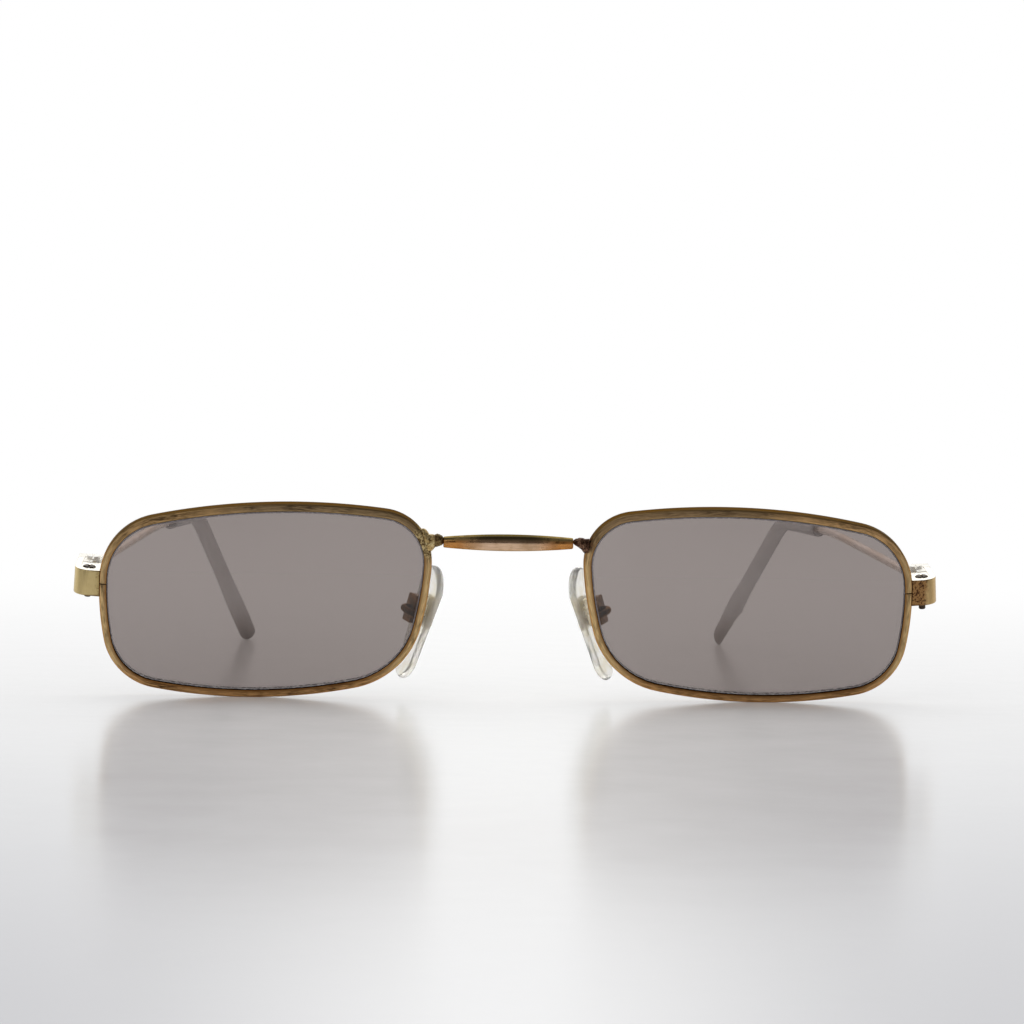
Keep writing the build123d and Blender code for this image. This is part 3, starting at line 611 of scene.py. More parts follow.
# Steel, brown black, with almost no shine
dark_steel = clouded("#5A4D40", "#3C3128", "#1C1510", 0.6)
metals = {
    "rim_left": worn_metal("gold_plate_rim_left", rim_left, 0.26, grazing="#968A76"),
    "rim_right": worn_metal("gold_plate_rim_right", rim_right, 0.26, grazing="#968A76"),
    "bridge": worn_metal("gold_plate_bridge", bridge_paint, bridge_shine, 0.08, grazing="#9A9070"),
    "strap_left": worn_metal("gold_plate_strap_left", strap_left, 0.3),
    "strap_right": worn_metal("gold_plate_strap_right", strap_right, 0.3),
    "solder_left": worn_metal("silver_solder_dark", dark_solder, 0.4, 0.2, 0.3, 0.03),
    "solder_right": worn_metal("silver_solder_crusty", crusty, 0.4, 0.2, 0.3, 0.04),
    "block": worn_metal("gold_plate_closing_block", block_plate, 0.24),
    "hinge": worn_metal("nickel_silver_filed_painted_bright", filed_and_painted_bright, 0.42, 0.15, metallic=0.65),
    "pad_metal": worn_metal("gold_plate_darkened", beyond("#F4EAD4", box_plate, 12.9), 0.3),
    "insert": worn_metal("pearly_insert", pearly, 0.4, metallic=0.2),
    "wire": worn_metal("nickel_silver_bare_wire", bare_wire, 0.16),
    "dark_screw": worn_metal("steel_screw_darkened", dark_steel, 0.35, 0.2, 0.2, 0.02),
}
print("metal finishes:", len(metals))

# %% [markdown]
# ## Tinted lens
#
# The lenses are cast resin, tinted grey with a trace of brown, and polished. Light passes both
# faces, so the shader's colour is what white light keeps after one whole lens. The bevel that
# sits in the groove is ground, not polished: it scatters light, so it shows as a thin cold grey
# line inside the rim. Along the bottom its pale chips carry painted glints, and it is painted
# darker towards the top.

# %% Cast resin, polished: clear, with a breath of haze where it was wiped
lens_polished, tree, add, shader, coordinates = new_material("tinted_resin_polished")
shader.inputs["Base Color"].default_value = linear("#908784")
shader.inputs["Transmission Weight"].default_value = 1.0
shader.inputs["IOR"].default_value = 1.5
blobs = {"Vector": coordinates, "Scale": 1 / (6 * MM), "Detail": 5, "Roughness": 0.65}
haze = add("ShaderNodeMapRange", {0: add("ShaderNodeTexNoise", blobs), 1: 0.55, 2: 0.8}, **EASED)
tree.links.new(add("ShaderNodeMath", {0: haze, 1: 0.04}, **TIMES), shader.inputs["Roughness"])
print("polished resin:", len(tree.nodes), "nodes")

# %% Cast resin, ground: frosted and chipped, with painted glints along the bottom and painted darker towards the top
lens_ground, tree, add, shader, coordinates = new_material("tinted_resin_ground_bevel")
blobs = {"Vector": coordinates, "Scale": 1 / (0.45 * MM), "Detail": 3, "Roughness": 0.6}
chips_and_glints = add("ShaderNodeMapRange", {0: add("ShaderNodeTexNoise", blobs), 1: 0.45, 2: 0.62}, **EASED)
# Painted glints: the chips are painted nearly white low down, and the bevel is painted darker towards the top
below = add("ShaderNodeMix", {0: chips_and_glints, 6: "#77747C", 7: "#F4F4F8"}, **TWO_TINTS)
above = add("ShaderNodeMix", {0: chips_and_glints, 6: "#8A8488", 7: "#B4AEB2"}, **TWO_TINTS)
height = add("ShaderNodeSeparateXYZ", {0: coordinates}, "Z")
high = add("ShaderNodeMapRange", {0: height, 1: 3 * MM, 2: 14 * MM}, **EASED)
tint = add("ShaderNodeMix", {0: high, 6: below, 7: above}, **TWO_TINTS)
tree.links.new(tint, shader.inputs["Base Color"])
shader.inputs["Transmission Weight"].default_value = 0.5
shader.inputs["IOR"].default_value = 1.5
shader.inputs["Roughness"].default_value = 0.35
tree.links.new(add("ShaderNodeBump", {"Height": chips_and_glints, "Distance": 0.03 * MM}), shader.inputs["Normal"])
print("ground resin:", len(tree.nodes), "nodes")

# %% [markdown]
# ## Clear plastics
#
# The nose pads are clear soft vinyl, moulded and yellowed in clouds. The ear tips are translucent
# acetate over the wire, matt from handling, and painted greyer towards their ends as painted
# shade near the table. Both let some light through and scatter the rest inside, which gives
# them a milky glow with soft edges.

# %% Vinyl, moulded: clear and milky, with a skin that has gone uneven
pad_vinyl, tree, add, shader, coordinates = new_material("clear_vinyl")
shader.inputs["Transmission Weight"].default_value = 0.8
shader.inputs["Subsurface Weight"].default_value = 1.0
shader.inputs["Subsurface Radius"].default_value = (1, 1, 1)
shader.inputs["Subsurface Scale"].default_value = 1.5 * MM
shader.inputs["IOR"].default_value = 1.4
blobs = {"Vector": coordinates, "Scale": 1 / (1.8 * MM), "Detail": 4, "Roughness": 0.55}
cloud = add("ShaderNodeTexNoise", blobs)
yellowed = add("ShaderNodeMapRange", {0: cloud, 1: 0.4, 2: 0.75}, **EASED)
tint = add("ShaderNodeMix", {0: yellowed, 6: "#FFFEFA", 7: "#F3EAD2"}, **TWO_TINTS)
tree.links.new(tint, shader.inputs["Base Color"])
rough = add("ShaderNodeMath", {0: cloud, 1: 0.15, 2: 0.02}, operation="MULTIPLY_ADD")
tree.links.new(rough, shader.inputs["Roughness"])
blobs = {"Vector": coordinates, "Scale": 1 / (0.8 * MM), "Detail": 3, "Roughness": 0.55}
dents = add("ShaderNodeTexNoise", blobs)
tree.links.new(add("ShaderNodeBump", {"Height": dents, "Distance": 0.02 * MM}), shader.inputs["Normal"])
print("vinyl:", len(tree.nodes), "nodes")

# %% Acetate, drawn as tube: matt and translucent, with painted shade making it greyer low down towards its end
tip_acetate, tree, add, shader, coordinates = new_material("translucent_acetate")
shader.inputs["Transmission Weight"].default_value = 0.2
shader.inputs["Subsurface Weight"].default_value = 1.0
shader.inputs["Subsurface Radius"].default_value = (1, 1, 1)
shader.inputs["Subsurface Scale"].default_value = 4 * MM
shader.inputs["IOR"].default_value = 1.47
shader.inputs["Roughness"].default_value = 0.5
blobs = {"Vector": coordinates, "Scale": 1 / (4 * MM), "Detail": 4, "Roughness": 0.55}
cloud = add("ShaderNodeMapRange", {0: add("ShaderNodeTexNoise", blobs), 1: 0.3, 2: 0.7}, **EASED)
sleeve = add("ShaderNodeMix", {0: cloud, 6: "#F8F6F6", 7: "#ECE8E7"}, **TWO_TINTS)
# Painted shade: low down near the table, towards its end, the tip is painted grey
height = add("ShaderNodeSeparateXYZ", {0: coordinates}, "Z")
clear_of_painted_shade = add("ShaderNodeMapRange", {0: height, 1: 1 * MM, 2: 9 * MM}, **EASED)
tint = add("ShaderNodeMix", {0: clear_of_painted_shade, 6: "#B8B0AC", 7: sleeve}, **TWO_TINTS)
tree.links.new(tint, shader.inputs["Base Color"])
blobs = {"Vector": coordinates, "Scale": 1 / (0.6 * MM), "Detail": 3, "Roughness": 0.55}
dents = add("ShaderNodeTexNoise", blobs)
tree.links.new(add("ShaderNodeBump", {"Height": dents, "Distance": 0.01 * MM}), shader.inputs["Normal"])
print("acetate:", len(tree.nodes), "nodes")

# %% [markdown]
# ## The outline of a rim
#
# Seen from the front, a rim is four shallow arcs whose corners are rounded. Every point of the
# outline knows its arc's centre, so an outline drawn in by some distance is the same arcs with
# smaller radii. That keeps the rim, the lens and its bevel parallel.


# %% Arcs of the outline
def meeting(first, first_radius, second, second_radius, near):
    """Where two circles meet, at the meeting point nearer to near."""
    apart = second - first
    distance = apart.length
    along = (first_radius**2 - second_radius**2 + distance**2) / (2 * distance)
    aside = sqrt(first_radius**2 - along**2)
    unit = apart / distance
    normal = Vector((-unit.y, unit.x))
    choices = [first + unit * along + normal * aside, first + unit * along - normal * aside]
    return min(choices, key=lambda point: (point - near).length)


TEMPORAL, TOP, NASAL, BOTTOM = 44.0, 87.0, 49.5, 94.0  # radii of the four sides
side_circles = [
    (Vector((half_width - TEMPORAL, 0.065 * half_height)), TEMPORAL),
    (Vector((-0.148 * half_width, half_height - TOP)), TOP),
    (Vector((NASAL - half_width, 0.572 * half_height)), NASAL),
    (Vector((0.121 * half_width, BOTTOM - half_height)), BOTTOM),
]
# The corner after each side, and which way it lies from the middle
corner_radii = [10.2, 8.1, 12.1, 8.65]
corner_signs = [(1, 1), (-1, 1), (-1, -1), (1, -1)]
corner_circles = []
for i, (radius, (across, up)) in enumerate(zip(corner_radii, corner_signs)):
    (one, one_radius), (two, two_radius) = side_circles[i], side_circles[(i + 1) % 4]
    near = Vector((across * (half_width - radius), up * (half_height - radius)))
    corner_circles.append((meeting(one, one_radius - radius, two, two_radius - radius, near), radius))
print("corners:", [(round(c.x, 2), round(c.y, 2)) for c, _ in corner_circles])


# %% Points along the arcs
def bearing(centre, point):
    """Direction from centre to point, in radians."""
    return atan2(point.y - centre.y, point.x - centre.x)


CUT_HEIGHT, CUT_HALF = 1.9, 0.16 / 2  # the saw cut through the rim, on the temporal side, and half its width
SIDE_POINTS, CORNER_POINTS = [14, 44, 20, 44], 22
LAST_POINTS = 18  # from the last corner to the cut
arcs = []  # centre, radius, first and last bearing, points
for i in range(4):
    centre, radius = side_circles[i]
    first = bearing(centre, corner_circles[i - 1][0])
    last = bearing(centre, corner_circles[i][0])
    if i == 0:
        start_of_loop = asin((CUT_HEIGHT + CUT_HALF - centre.y) / radius)
        end_of_loop = asin((CUT_HEIGHT - CUT_HALF - centre.y) / radius)
        closing_arc = (centre, radius, first, end_of_loop, LAST_POINTS)
        first = start_of_loop
    arcs.append((centre, radius, first, last, SIDE_POINTS[i]))
    corner, corner_radius = corner_circles[i]
    next_centre = side_circles[(i + 1) % 4][0]
    first, last = bearing(centre, corner), bearing(next_centre, corner)
    arcs.append((corner, corner_radius, first, last, CORNER_POINTS))
arcs.append(closing_arc)


def outline(inset):
    """Points of the outline drawn in by inset, from just above the saw cut round to just below it."""
    points = []
    for centre, radius, first, last, count in arcs:
        turn = (last - first + pi) % (2 * pi) - pi
        for step in range(count):
            angle = first + turn * step / count
            points.append(centre + Vector((cos(angle), sin(angle))) * (radius - inset))
    centre, radius, _, last, _ = arcs[-1]
    points.append(centre + Vector((cos(last), sin(last))) * (radius - inset))
    return points


rim_points = outline(0)
print("outline:", len(rim_points), "points,", round(max(p.x for p in rim_points) * 2, 2), "mm wide")

# %% [markdown]
# ## Rims, grown along a path
#
# A rim is one rule: a small rounded section follows the outline, and the result is bent to the
# sphere that the lenses follow. Geometry Nodes says exactly that. The tree turns a line of edges
# into a curve, sweeps the section along it, and moves each point back by the sphere's sag at
# that distance from the lens's centre. The line is open at the saw cut, so both ends get caps.


# %% A tree for the rims
def node_group(name, sockets):
    """A Geometry Nodes tree with named inputs: itself, a function that adds its nodes, and both its ends."""
    group = bpy.data.node_groups.new(name, "GeometryNodeTree")
    group.interface.new_socket("Geometry", in_out="INPUT", socket_type="NodeSocketGeometry")
    for label, kind in sockets:
        group.interface.new_socket(label, in_out="INPUT", socket_type="NodeSocket" + kind)
    group.interface.new_socket("Geometry", in_out="OUTPUT", socket_type="NodeSocketGeometry")
    given, result = group.nodes.new("NodeGroupInput").outputs, group.nodes.new("NodeGroupOutput").inputs
    return group, partial(add_node, group), given, result


rim_sockets = [(size, "Float") for size in ("Wire Width", "Wire Depth", "Edge Rounding", "Base Curve")]
rim_sockets.append(("Material", "Material"))
rim_tree, add, given, result = node_group("rim_on_a_base_curve", rim_sockets)
path = add("GeometryNodeMeshToCurve", {"Mesh": given["Geometry"]})
path = add("GeometryNodeSetCurveNormal", {"Curve": path}, mode="Z_UP")
# Each point remembers where it is around the rim and in its section, for the paint to use
way = add("GeometryNodeSplineParameter", output="Factor")
around = {"Geometry": path, "Name": "around", "Value": way}
path = add("GeometryNodeStoreNamedAttribute", around, data_type="FLOAT")
wire_size = {"Width": given["Wire Width"], "Height": given["Wire Depth"]}
section = add("GeometryNodeCurvePrimitiveQuadrilateral", wire_size)
rounding = {"Curve": section, "Count": 6, "Radius": given["Edge Rounding"], "Limit Radius": True}
section = add("GeometryNodeFilletCurve", rounding, mode="POLY")
whole = add("ShaderNodeCombineXYZ", {0: given["Wire Width"], 1: given["Wire Depth"], 2: 1.0})
spot = add("GeometryNodeInputPosition")
share = add("ShaderNodeVectorMath", {0: spot, 1: whole}, operation="DIVIDE")
share = add("ShaderNodeVectorMath", {0: share, "Scale": 2.0}, operation="SCALE")
in_section = {"Geometry": section, "Name": "section", "Value": share}
section = add("GeometryNodeStoreNamedAttribute", in_section, data_type="FLOAT_VECTOR")
swept = add("GeometryNodeCurveToMesh", {"Curve": path, "Profile Curve": section, "Fill Caps": True})
print("rim tree so far:", len(rim_tree.nodes), "nodes")

# %% Bend the rim to the base curve
spot = add("GeometryNodeInputPosition")
x = add("ShaderNodeSeparateXYZ", {0: spot}, "X")
y = add("ShaderNodeSeparateXYZ", {0: spot}, "Y")
x_squared = add("ShaderNodeMath", {0: x, 1: x}, **TIMES)
reach_squared = add("ShaderNodeMath", {0: y, 1: y, 2: x_squared}, operation="MULTIPLY_ADD")
radius_squared = add("ShaderNodeMath", {0: given["Base Curve"], 1: given["Base Curve"]}, **TIMES)
left_over = add("ShaderNodeMath", {0: radius_squared, 1: reach_squared}, operation="SUBTRACT")
depth = add("ShaderNodeMath", {0: left_over}, operation="SQRT")
falls_back = add("ShaderNodeMath", {0: given["Base Curve"], 1: depth}, operation="SUBTRACT")
shift = add("ShaderNodeCombineXYZ", {2: falls_back})
bent = add("GeometryNodeSetPosition", {"Geometry": swept, "Offset": shift})
real = add("GeometryNodeRealizeInstances", {0: bent})
painted = add("GeometryNodeSetMaterial", {"Geometry": real, "Material": given["Material"]})
rim_tree.links.new(painted, result["Geometry"])
print("rim tree:", len(rim_tree.nodes), "nodes")


# %% Grow a line and make it plain
def line_mesh(name, points, bends=None):
    """A line of edges through points, each with the radius that the route is to be bent to there."""
    mesh = bpy.data.meshes.new(name)
    mesh.from_pydata(points, [(i, i + 1) for i in range(len(points) - 1)], [])
    if bends:
        mesh.attributes.new("bend", "FLOAT", "POINT").data.foreach_set("value", bends)
    return mesh


def grown(name, line, tree, inputs):
    """Runs a tree on a line and gives back the plain mesh that it makes."""
    carrier = bpy.data.objects.new(name, line)
    bpy.context.collection.objects.link(carrier)
    modifier = carrier.modifiers.new("grow", "NODES")
    modifier.node_group = tree
    for item in tree.interface.items_tree:
        if item.in_out == "INPUT" and item.name in inputs:
            modifier[item.identifier] = inputs[item.name]
    graph = bpy.context.evaluated_depsgraph_get()
    mesh = bpy.data.meshes.new_from_object(carrier.evaluated_get(graph), depsgraph=graph)
    carrier.modifiers.remove(modifier)
    bpy.data.objects.remove(carrier)
    return mesh


def turned_out(mesh, matrix=Matrix.Identity(4)):
    """Moves a mesh to its place, merges its doubles and turns its faces outwards."""
    mesh.transform(matrix)
    body = bmesh.new()
    body.from_mesh(mesh)
    bmesh.ops.remove_doubles(body, verts=body.verts, dist=0.0002 * MM)
    bmesh.ops.recalc_face_normals(body, faces=body.faces)
    body.to_mesh(mesh)
    body.free()
    return finish_mesh(mesh)


EDGE_ROUNDING = 0.26
for name, side in SIDES.items():
    line = line_mesh("rim_line", [(p.x * MM, p.y * MM, 0) for p in outline(rim_width / 2)])
    sizes = {
        "Wire Width": rim_width * MM,
        "Wire Depth": rim_depth * MM,
        "Edge Rounding": EDGE_ROUNDING * MM,
        "Base Curve": curve_radius * MM,
        "Material": metals["rim_" + name],
    }
    mesh = turned_out(grown("rim", line, rim_tree, sizes), eye_matrix(side))
    put("rim_" + name, mesh, metals["rim_" + name], "front", "eyewire_" + name)
    print("rim", name, len(mesh.vertices), "points")

# %% [markdown]
# ## Lenses
#
# A lens is a meniscus: its front and back follow two spheres with one centre. A lens could be
# cut from two balls, but rings are simpler and keep the edge crisp. They run from the middle of
# the front face out to the polished edge, over the bevel in the groove, and back to the middle
# of the rear face.

# %% Lens skins
LENS_HALF = 0.9  # half its thickness
FACE_SHARES = (0.08, 0.2, 0.35, 0.5, 0.65, 0.8, 0.92, 1.0)
POLISHED_INSET = 0.2  # the polished face ends this far inside the rim
# How far inside the rim, or with a minus in its groove, and how far from the middle of the edge
BEVEL = [(0.05, 0.55), (-0.2, 0.4), (-0.4, 0.2)]


def lens_rings(side):
    """Rings of a lens from the middle of its front face, round its edge, to the middle of its back."""
    matrix = eye_matrix(side)
    polished = outline(rim_width + POLISHED_INSET)
    stops = [([p * share for p in polished], -LENS_HALF) for share in FACE_SHARES]
    stops += [(outline(rim_width + inset), -depth) for inset, depth in BEVEL]
    stops += [(points, -depth) for points, depth in reversed(stops)]
    return [
        [matrix @ (Vector((p.x, p.y, sag(hypot(p.x, p.y)) + depth)) * MM) for p in points]
        for points, depth in stops
    ]


ground_bands = range(len(FACE_SHARES) - 1, len(FACE_SHARES) + 2 * len(BEVEL))
for name, side in SIDES.items():
    mesh = skin("lens", lens_rings(side), smooth_below=20)
    put("lens_dressed_" + name, mesh, lens_polished, "front", "lens_" + name)
    mesh.materials.append(lens_ground)
    for polygon in mesh.polygons:
        polygon.material_index = int(polygon.index // len(rim_points) in ground_bands)
    print("lens", name, len(mesh.polygons), "faces")

# %% [markdown]
# ## Bridge
#
# The bridge is a turned spindle, thickest in the middle. Spin would make it too, but as a skin
# its hoops can be set at the radius that the solid's arc has at each place.

# %% Spindle bridge
BRIDGE_END, BRIDGE_END_RADIUS, BRIDGE_RADIUS = 9.575, 0.8, 1.24
BRIDGE_BELOW_TOP = 6.0  # from the top of the rims down to its middle
END_INSET, END_STEP = 0.12, 0.1  # its turned ends are broken by a chamfer
bridge_up, bridge_back = half_height - BRIDGE_BELOW_TOP, sag(half_width - rim_width)
bridge_middle = front_centre + front_up * bridge_up + front_back * bridge_back
swell = BRIDGE_RADIUS - BRIDGE_END_RADIUS
bow_radius = (BRIDGE_END**2 + swell**2) / (2 * swell)
ROUND, STATIONS = 48, 40  # points round the bridge and places along it


def hoop(x, radius):
    """A ring of points round the bridge, in metres."""
    centre = bridge_middle + Vector((x, 0, 0))
    spokes = [front_up * cos(t) + front_back * sin(t) for t in turns(ROUND)]
    return [(centre + spoke * radius) * MM for spoke in spokes]


rings = []
for i in range(STATIONS + 1):
    x = -BRIDGE_END + 2 * BRIDGE_END * i / STATIONS
    radius = BRIDGE_RADIUS - (bow_radius - sqrt(bow_radius**2 - x**2))
    if i == 0:
        rings += [hoop(x, radius - END_INSET), hoop(x + END_STEP, radius)]
    elif i == STATIONS:
        rings += [hoop(x - END_STEP, radius), hoop(x, radius - END_INSET)]
    else:
        rings.append(hoop(x, radius))
put("bridge_dressed", skin("bridge", rings), metals["bridge"], "front", "bridge_bar")
print("bridge", len(rings), "rings")

# %% [markdown]
# ## Solder beads
#
# At each end of the bridge a bead of solder joins it to the rim. Solder is never a clean ball:
# it wets both pieces and its skin is lumpy. So a bead is a skin of its own, which starts as a
# ball and spreads along the rim, and a little noise pushes its points in and out. The two beads
# differ, because each was run in by hand.

# %% Solder beads
BEAD_OUT, BEAD_UP = 0.85, 0.25  # from the bridge's end to the middle of the ball
BEAD_DEEP = 0.84  # the most that a bead reaches forward or back
BEAD_ROUND = 32  # points round a bead
LUMPS = [(0.08, 0.45), (0.05, 0.18)]  # how high the lumps are, and how wide
BEADS = {
    # Out towards the rim, lowest and highest point of the solder there, from the middle of the ball
    "left": [
        (-0.95, -0.1, 0.1), (-0.85, -0.2, 0.2), (-0.7, -0.36, 0.36), (-0.4, -0.65, 0.5), (0, -0.85, 0.6),
        (0.35, -1.1, 0.62), (0.6, -1.4, 0.6), (0.85, -1.7, 0.48), (1.1, -1.8, 0.45), (1.5, -1.9, 0.5),
    ],
    "right": [
        (-0.95, -0.15, 0.15), (-0.85, -0.42, 0.42), (-0.65, -0.69, 0.69), (-0.35, -0.88, 0.88),
        (0, -0.95, 0.95), (0.3, -1.0, 0.88), (0.5, -1.2, 0.82), (0.74, -1.5, 0.82), (1.0, -1.75, 0.85),
        (1.25, -1.9, 0.95), (1.45, -2.0, 1.2), (1.65, -1.7, 1.5), (1.85, -0.9, 1.7), (2.1, 0.2, 1.75),
        (2.5, 1.0, 1.7),
    ],
}
ball_centre = bridge_middle + Vector((BRIDGE_END + BEAD_OUT, 0, 0)) + front_up * BEAD_UP


def bead_ring(out, low, high, side):
    """A lumpy ring of solder from low to high, so far out from the middle of the ball."""
    middle = ball_centre + Vector((out, 0, 0)) + front_up * ((low + high) / 2)
    tall = (high - low) / 2
    ring = []
    for angle in turns(BEAD_ROUND):
        point = middle + front_up * (tall * cos(angle)) + front_back * (min(BEAD_DEEP, tall) * sin(angle))
        push = sum(lump * noise.noise(point / width) for lump, width in LUMPS)
        point += (point - middle).normalized() * push
        ring.append(on_side(point, side))
    return ring


for name, side in SIDES.items():
    stops = [Vector(stop) for stop in BEADS[name]]
    rings = []
    for stop, following in zip(stops, stops[1:]):
        rings += [bead_ring(*stop.lerp(following, share), side) for share in (0, 1 / 3, 2 / 3)]
    rings.append(bead_ring(*stops[-1], side))
    mesh = skin("bead", rings)
    put("solder_bead_" + name, mesh, metals["solder_" + name], "front", "bridge_bead_" + name)
    print("bead", name, len(rings), "rings")

# %% [markdown]
# ## Small metal parts
#
# The end pieces, screws, hinges and pad boxes have the right shape in the solid model. What the
# eye misses there is a soft edge: no pressed or turned part has a perfectly sharp one, and it
# is the edge that catches the light. Each gets a copy of its solid, and all but the end straps
# and guard arms get their edges rounded.


# %% Round the edges of a copy
def softened(node, edge_mm, smooth_below=35):
    """A copy of a solid's mesh, its doubles merged, flat faces joined and sharp edges slightly rounded."""
    body = bmesh.new()
    body.from_mesh(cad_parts[node].data)
    bmesh.ops.remove_doubles(body, verts=body.verts, dist=0.0005 * MM)
    bmesh.ops.dissolve_limit(body, angle_limit=radians(1.5), verts=body.verts, edges=body.edges)
    sharp = [e for e in body.edges if e.is_manifold and e.calc_face_angle(0) > radians(smooth_below)]
    if edge_mm:
        rounding = {"offset": edge_mm * MM, "segments": 2, "profile": 0.5, "clamp_overlap": True}
        bmesh.ops.bevel(body, geom=sharp, affect="EDGES", **rounding)
    bmesh.ops.recalc_face_normals(body, faces=body.faces)
    mesh = bpy.data.meshes.new(node + "_dressed")
    body.to_mesh(mesh)
    body.free()
    return finish_mesh(mesh, smooth_below)


# Metal, slot and how far the edges are rounded, in millimetres
SMALL = {
    "end_strap": ("strap", "gold_plate", 0),
    "closing_block_upper": ("block", "gold_plate", 0.07),
    "closing_block_lower": ("block", "gold_plate", 0.07),
    "closing_screw": ("dark_screw", "screw_steel", 0.03),
    "hinge_leaf": ("hinge", "gold_plate", 0.07),
    "hinge_screw": ("hinge", "screw_steel", 0.03),
    "pad_box": ("pad_metal", "gold_plate", 0.05),
    "pad_screw": ("pad_metal", "screw_steel", 0.03),
    "guard_arm": ("pad_metal", "gold_plate", 0),
    "temple_hinge": ("hinge", "gold_plate", 0.12),
    "pad_insert": ("insert", "screw_steel", 0.04),
}
BODY_OF = {"temple_hinge": "temple", "pad_insert": "nose_pad"}
LONG_SCREW, ROUGH_END, LONGER_BY = "closing_screw_left", 0.3, 0.4
for part, (finish, slot, edge_mm) in SMALL.items():
    for name in SIDES:
        node = part + "_" + name
        material = metals.get(finish + "_" + name) or metals[finish]
        body = f"{BODY_OF[part]}_{name}" if part in BODY_OF else "front"
        mesh = softened(node, edge_mm)
        if node == LONG_SCREW:
            # This screw is longer than its fellow, and its rough end shows under the strap
            tip = min(v.co.z for v in mesh.vertices)
            for vertex in mesh.vertices:
                if vertex.co.z < tip + ROUGH_END * MM:
                    vertex.co.z -= LONGER_BY * MM
        put(node + "_dressed", mesh, material, body, node)
print("small parts:", 2 * len(SMALL))

# %% [markdown]
# ## Temple wires, grown along a bent route
#
# A temple is a wire that runs back in two nearly straight runs and then bends down behind the
# ear. The tree takes a line of four points, bends it at each point to the radius stored there,
# and sweeps a circle along it.

# %% A tree for bent wire
wire_sockets = [("Wire Radius", "Float"), ("Sides", "Int"), ("Bend Steps", "Int"), ("Material", "Material")]
wire_tree, add, given, result = node_group("wire_on_a_bent_route", wire_sockets)
path = add("GeometryNodeMeshToCurve", {"Mesh": given["Geometry"]})
bend = add("GeometryNodeInputNamedAttribute", {"Name": "bend"}, "Attribute", data_type="FLOAT")
bends = {"Curve": path, "Count": given["Bend Steps"], "Radius": bend, "Limit Radius": False}
path = add("GeometryNodeFilletCurve", bends, mode="POLY")
wire_size = {"Resolution": given["Sides"], "Radius": given["Wire Radius"]}
circle = add("GeometryNodeCurvePrimitiveCircle", wire_size)
swept = add("GeometryNodeCurveToMesh", {"Curve": path, "Profile Curve": circle, "Fill Caps": True})
real = add("GeometryNodeRealizeInstances", {0: swept})
painted = add("GeometryNodeSetMaterial", {"Geometry": real, "Material": given["Material"]})
wire_tree.links.new(painted, result["Geometry"])
print("wire tree:", len(wire_tree.nodes), "nodes")

# %% Temple wires
WIRE_RADIUS = 0.65
BOW_BEND, EAR_BEND = 150, 16  # radii of the slight bend on the way and of the bend behind the ear
WIRE_ENDS_BEFORE_TIP = 4.5  # the sleeve covers the wire's end
wire_start = Vector((62.0693, -47.6416, 18.6754))
bow_point = Vector((54.6459, -6.3838, 23.5258))
ear_point = Vector((50.6203, 27.3752, 23.8818))
tip_end = Vector((42.9588, 61.6510, 1.0736))
tip_heading = (tip_end - ear_point).normalized()
rear_heading = (ear_point - bow_point).normalized()
tip_side = tip_heading.cross(Vector((0, 0, 1))).normalized()
wire_end = tip_end - tip_heading * WIRE_ENDS_BEFORE_TIP
for name, side in SIDES.items():
    route = [on_side(p, side) for p in (wire_start, bow_point, ear_point, wire_end)]
    line = line_mesh("temple_line", route, [0, BOW_BEND * MM, EAR_BEND * MM, 0])
    sizes = {"Wire Radius": WIRE_RADIUS * MM, "Sides": 28, "Bend Steps": 30, "Material": metals["wire"]}
    mesh = turned_out(grown("temple", line, wire_tree, sizes))
    node = "temple_wire_" + name
    put("temple_wire_dressed_" + name, mesh, metals["wire"], "temple_" + name, node)
    print("temple wire", name, len(mesh.vertices), "points")

# %% [markdown]
# ## Ear tips
#
# The ear tip is a plastic sleeve that was pushed hot over the wire. It starts round, with a small
# open mouth, follows the bend, and swells into a flat oval paddle with a rounded end. Its
# rings are placed one by one along the route, so each can have its own width and height. One of
# the pair was pressed flat towards its end, and the other was left full.

# %% Route of an ear tip
SLEEVE_START = 8.5  # from the slight bend back to the sleeve's mouth
SLEEVE_STEPS, BEND_STEPS, PADDLE_STEPS = 12, 24, 25


def ear_route():
    """Places and headings along the ear tip's middle, in millimetres."""
    turn = acos(rear_heading.dot(tip_heading))
    trim = EAR_BEND * tan(turn / 2)
    inward = (tip_heading - rear_heading).normalized()
    hub = ear_point + inward * (EAR_BEND / cos(turn / 2))
    first, last = bow_point + rear_heading * SLEEVE_START, ear_point - rear_heading * trim
    places = [(first.lerp(last, i / SLEEVE_STEPS), rear_heading) for i in range(SLEEVE_STEPS + 1)]
    axle = rear_heading.cross(tip_heading).normalized()
    for i in range(1, BEND_STEPS):
        step = Quaternion(axle, turn * i / BEND_STEPS)
        places.append((hub + step @ (last - hub), step @ rear_heading))
    after = ear_point + tip_heading * trim
    places += [(after.lerp(tip_end, i / PADDLE_STEPS), tip_heading) for i in range(PADDLE_STEPS + 1)]
    return places


print("ear tip has", len(ear_route()), "places")

# %% Ear tip skins
# Depth inside the mouth and radius, from the hole out over the lip
MOUTH = [(1.2, 0.68), (1.15, 0.93), (0.1, 0.95), (0, 1.05), (0.02, 1.18), (0.12, 1.28)]
SLEEVE_RADIUS, PADDLE_WIDE, PADDLE_HIGH = 1.3, 1.45, 1.6  # half sizes
PADDLE_LENGTH, FLATTENED_LENGTH, END_ROUNDING = 22.0, 13.0, 0.7
END_WIDE = {"left": 0.75, "right": PADDLE_WIDE}  # half width at the end
TIP_ROUND, END_STEPS = 40, 6  # points round an ear tip, and rings round its end
LAST_GAP = 0.05  # the straight part stops this far before the rounding


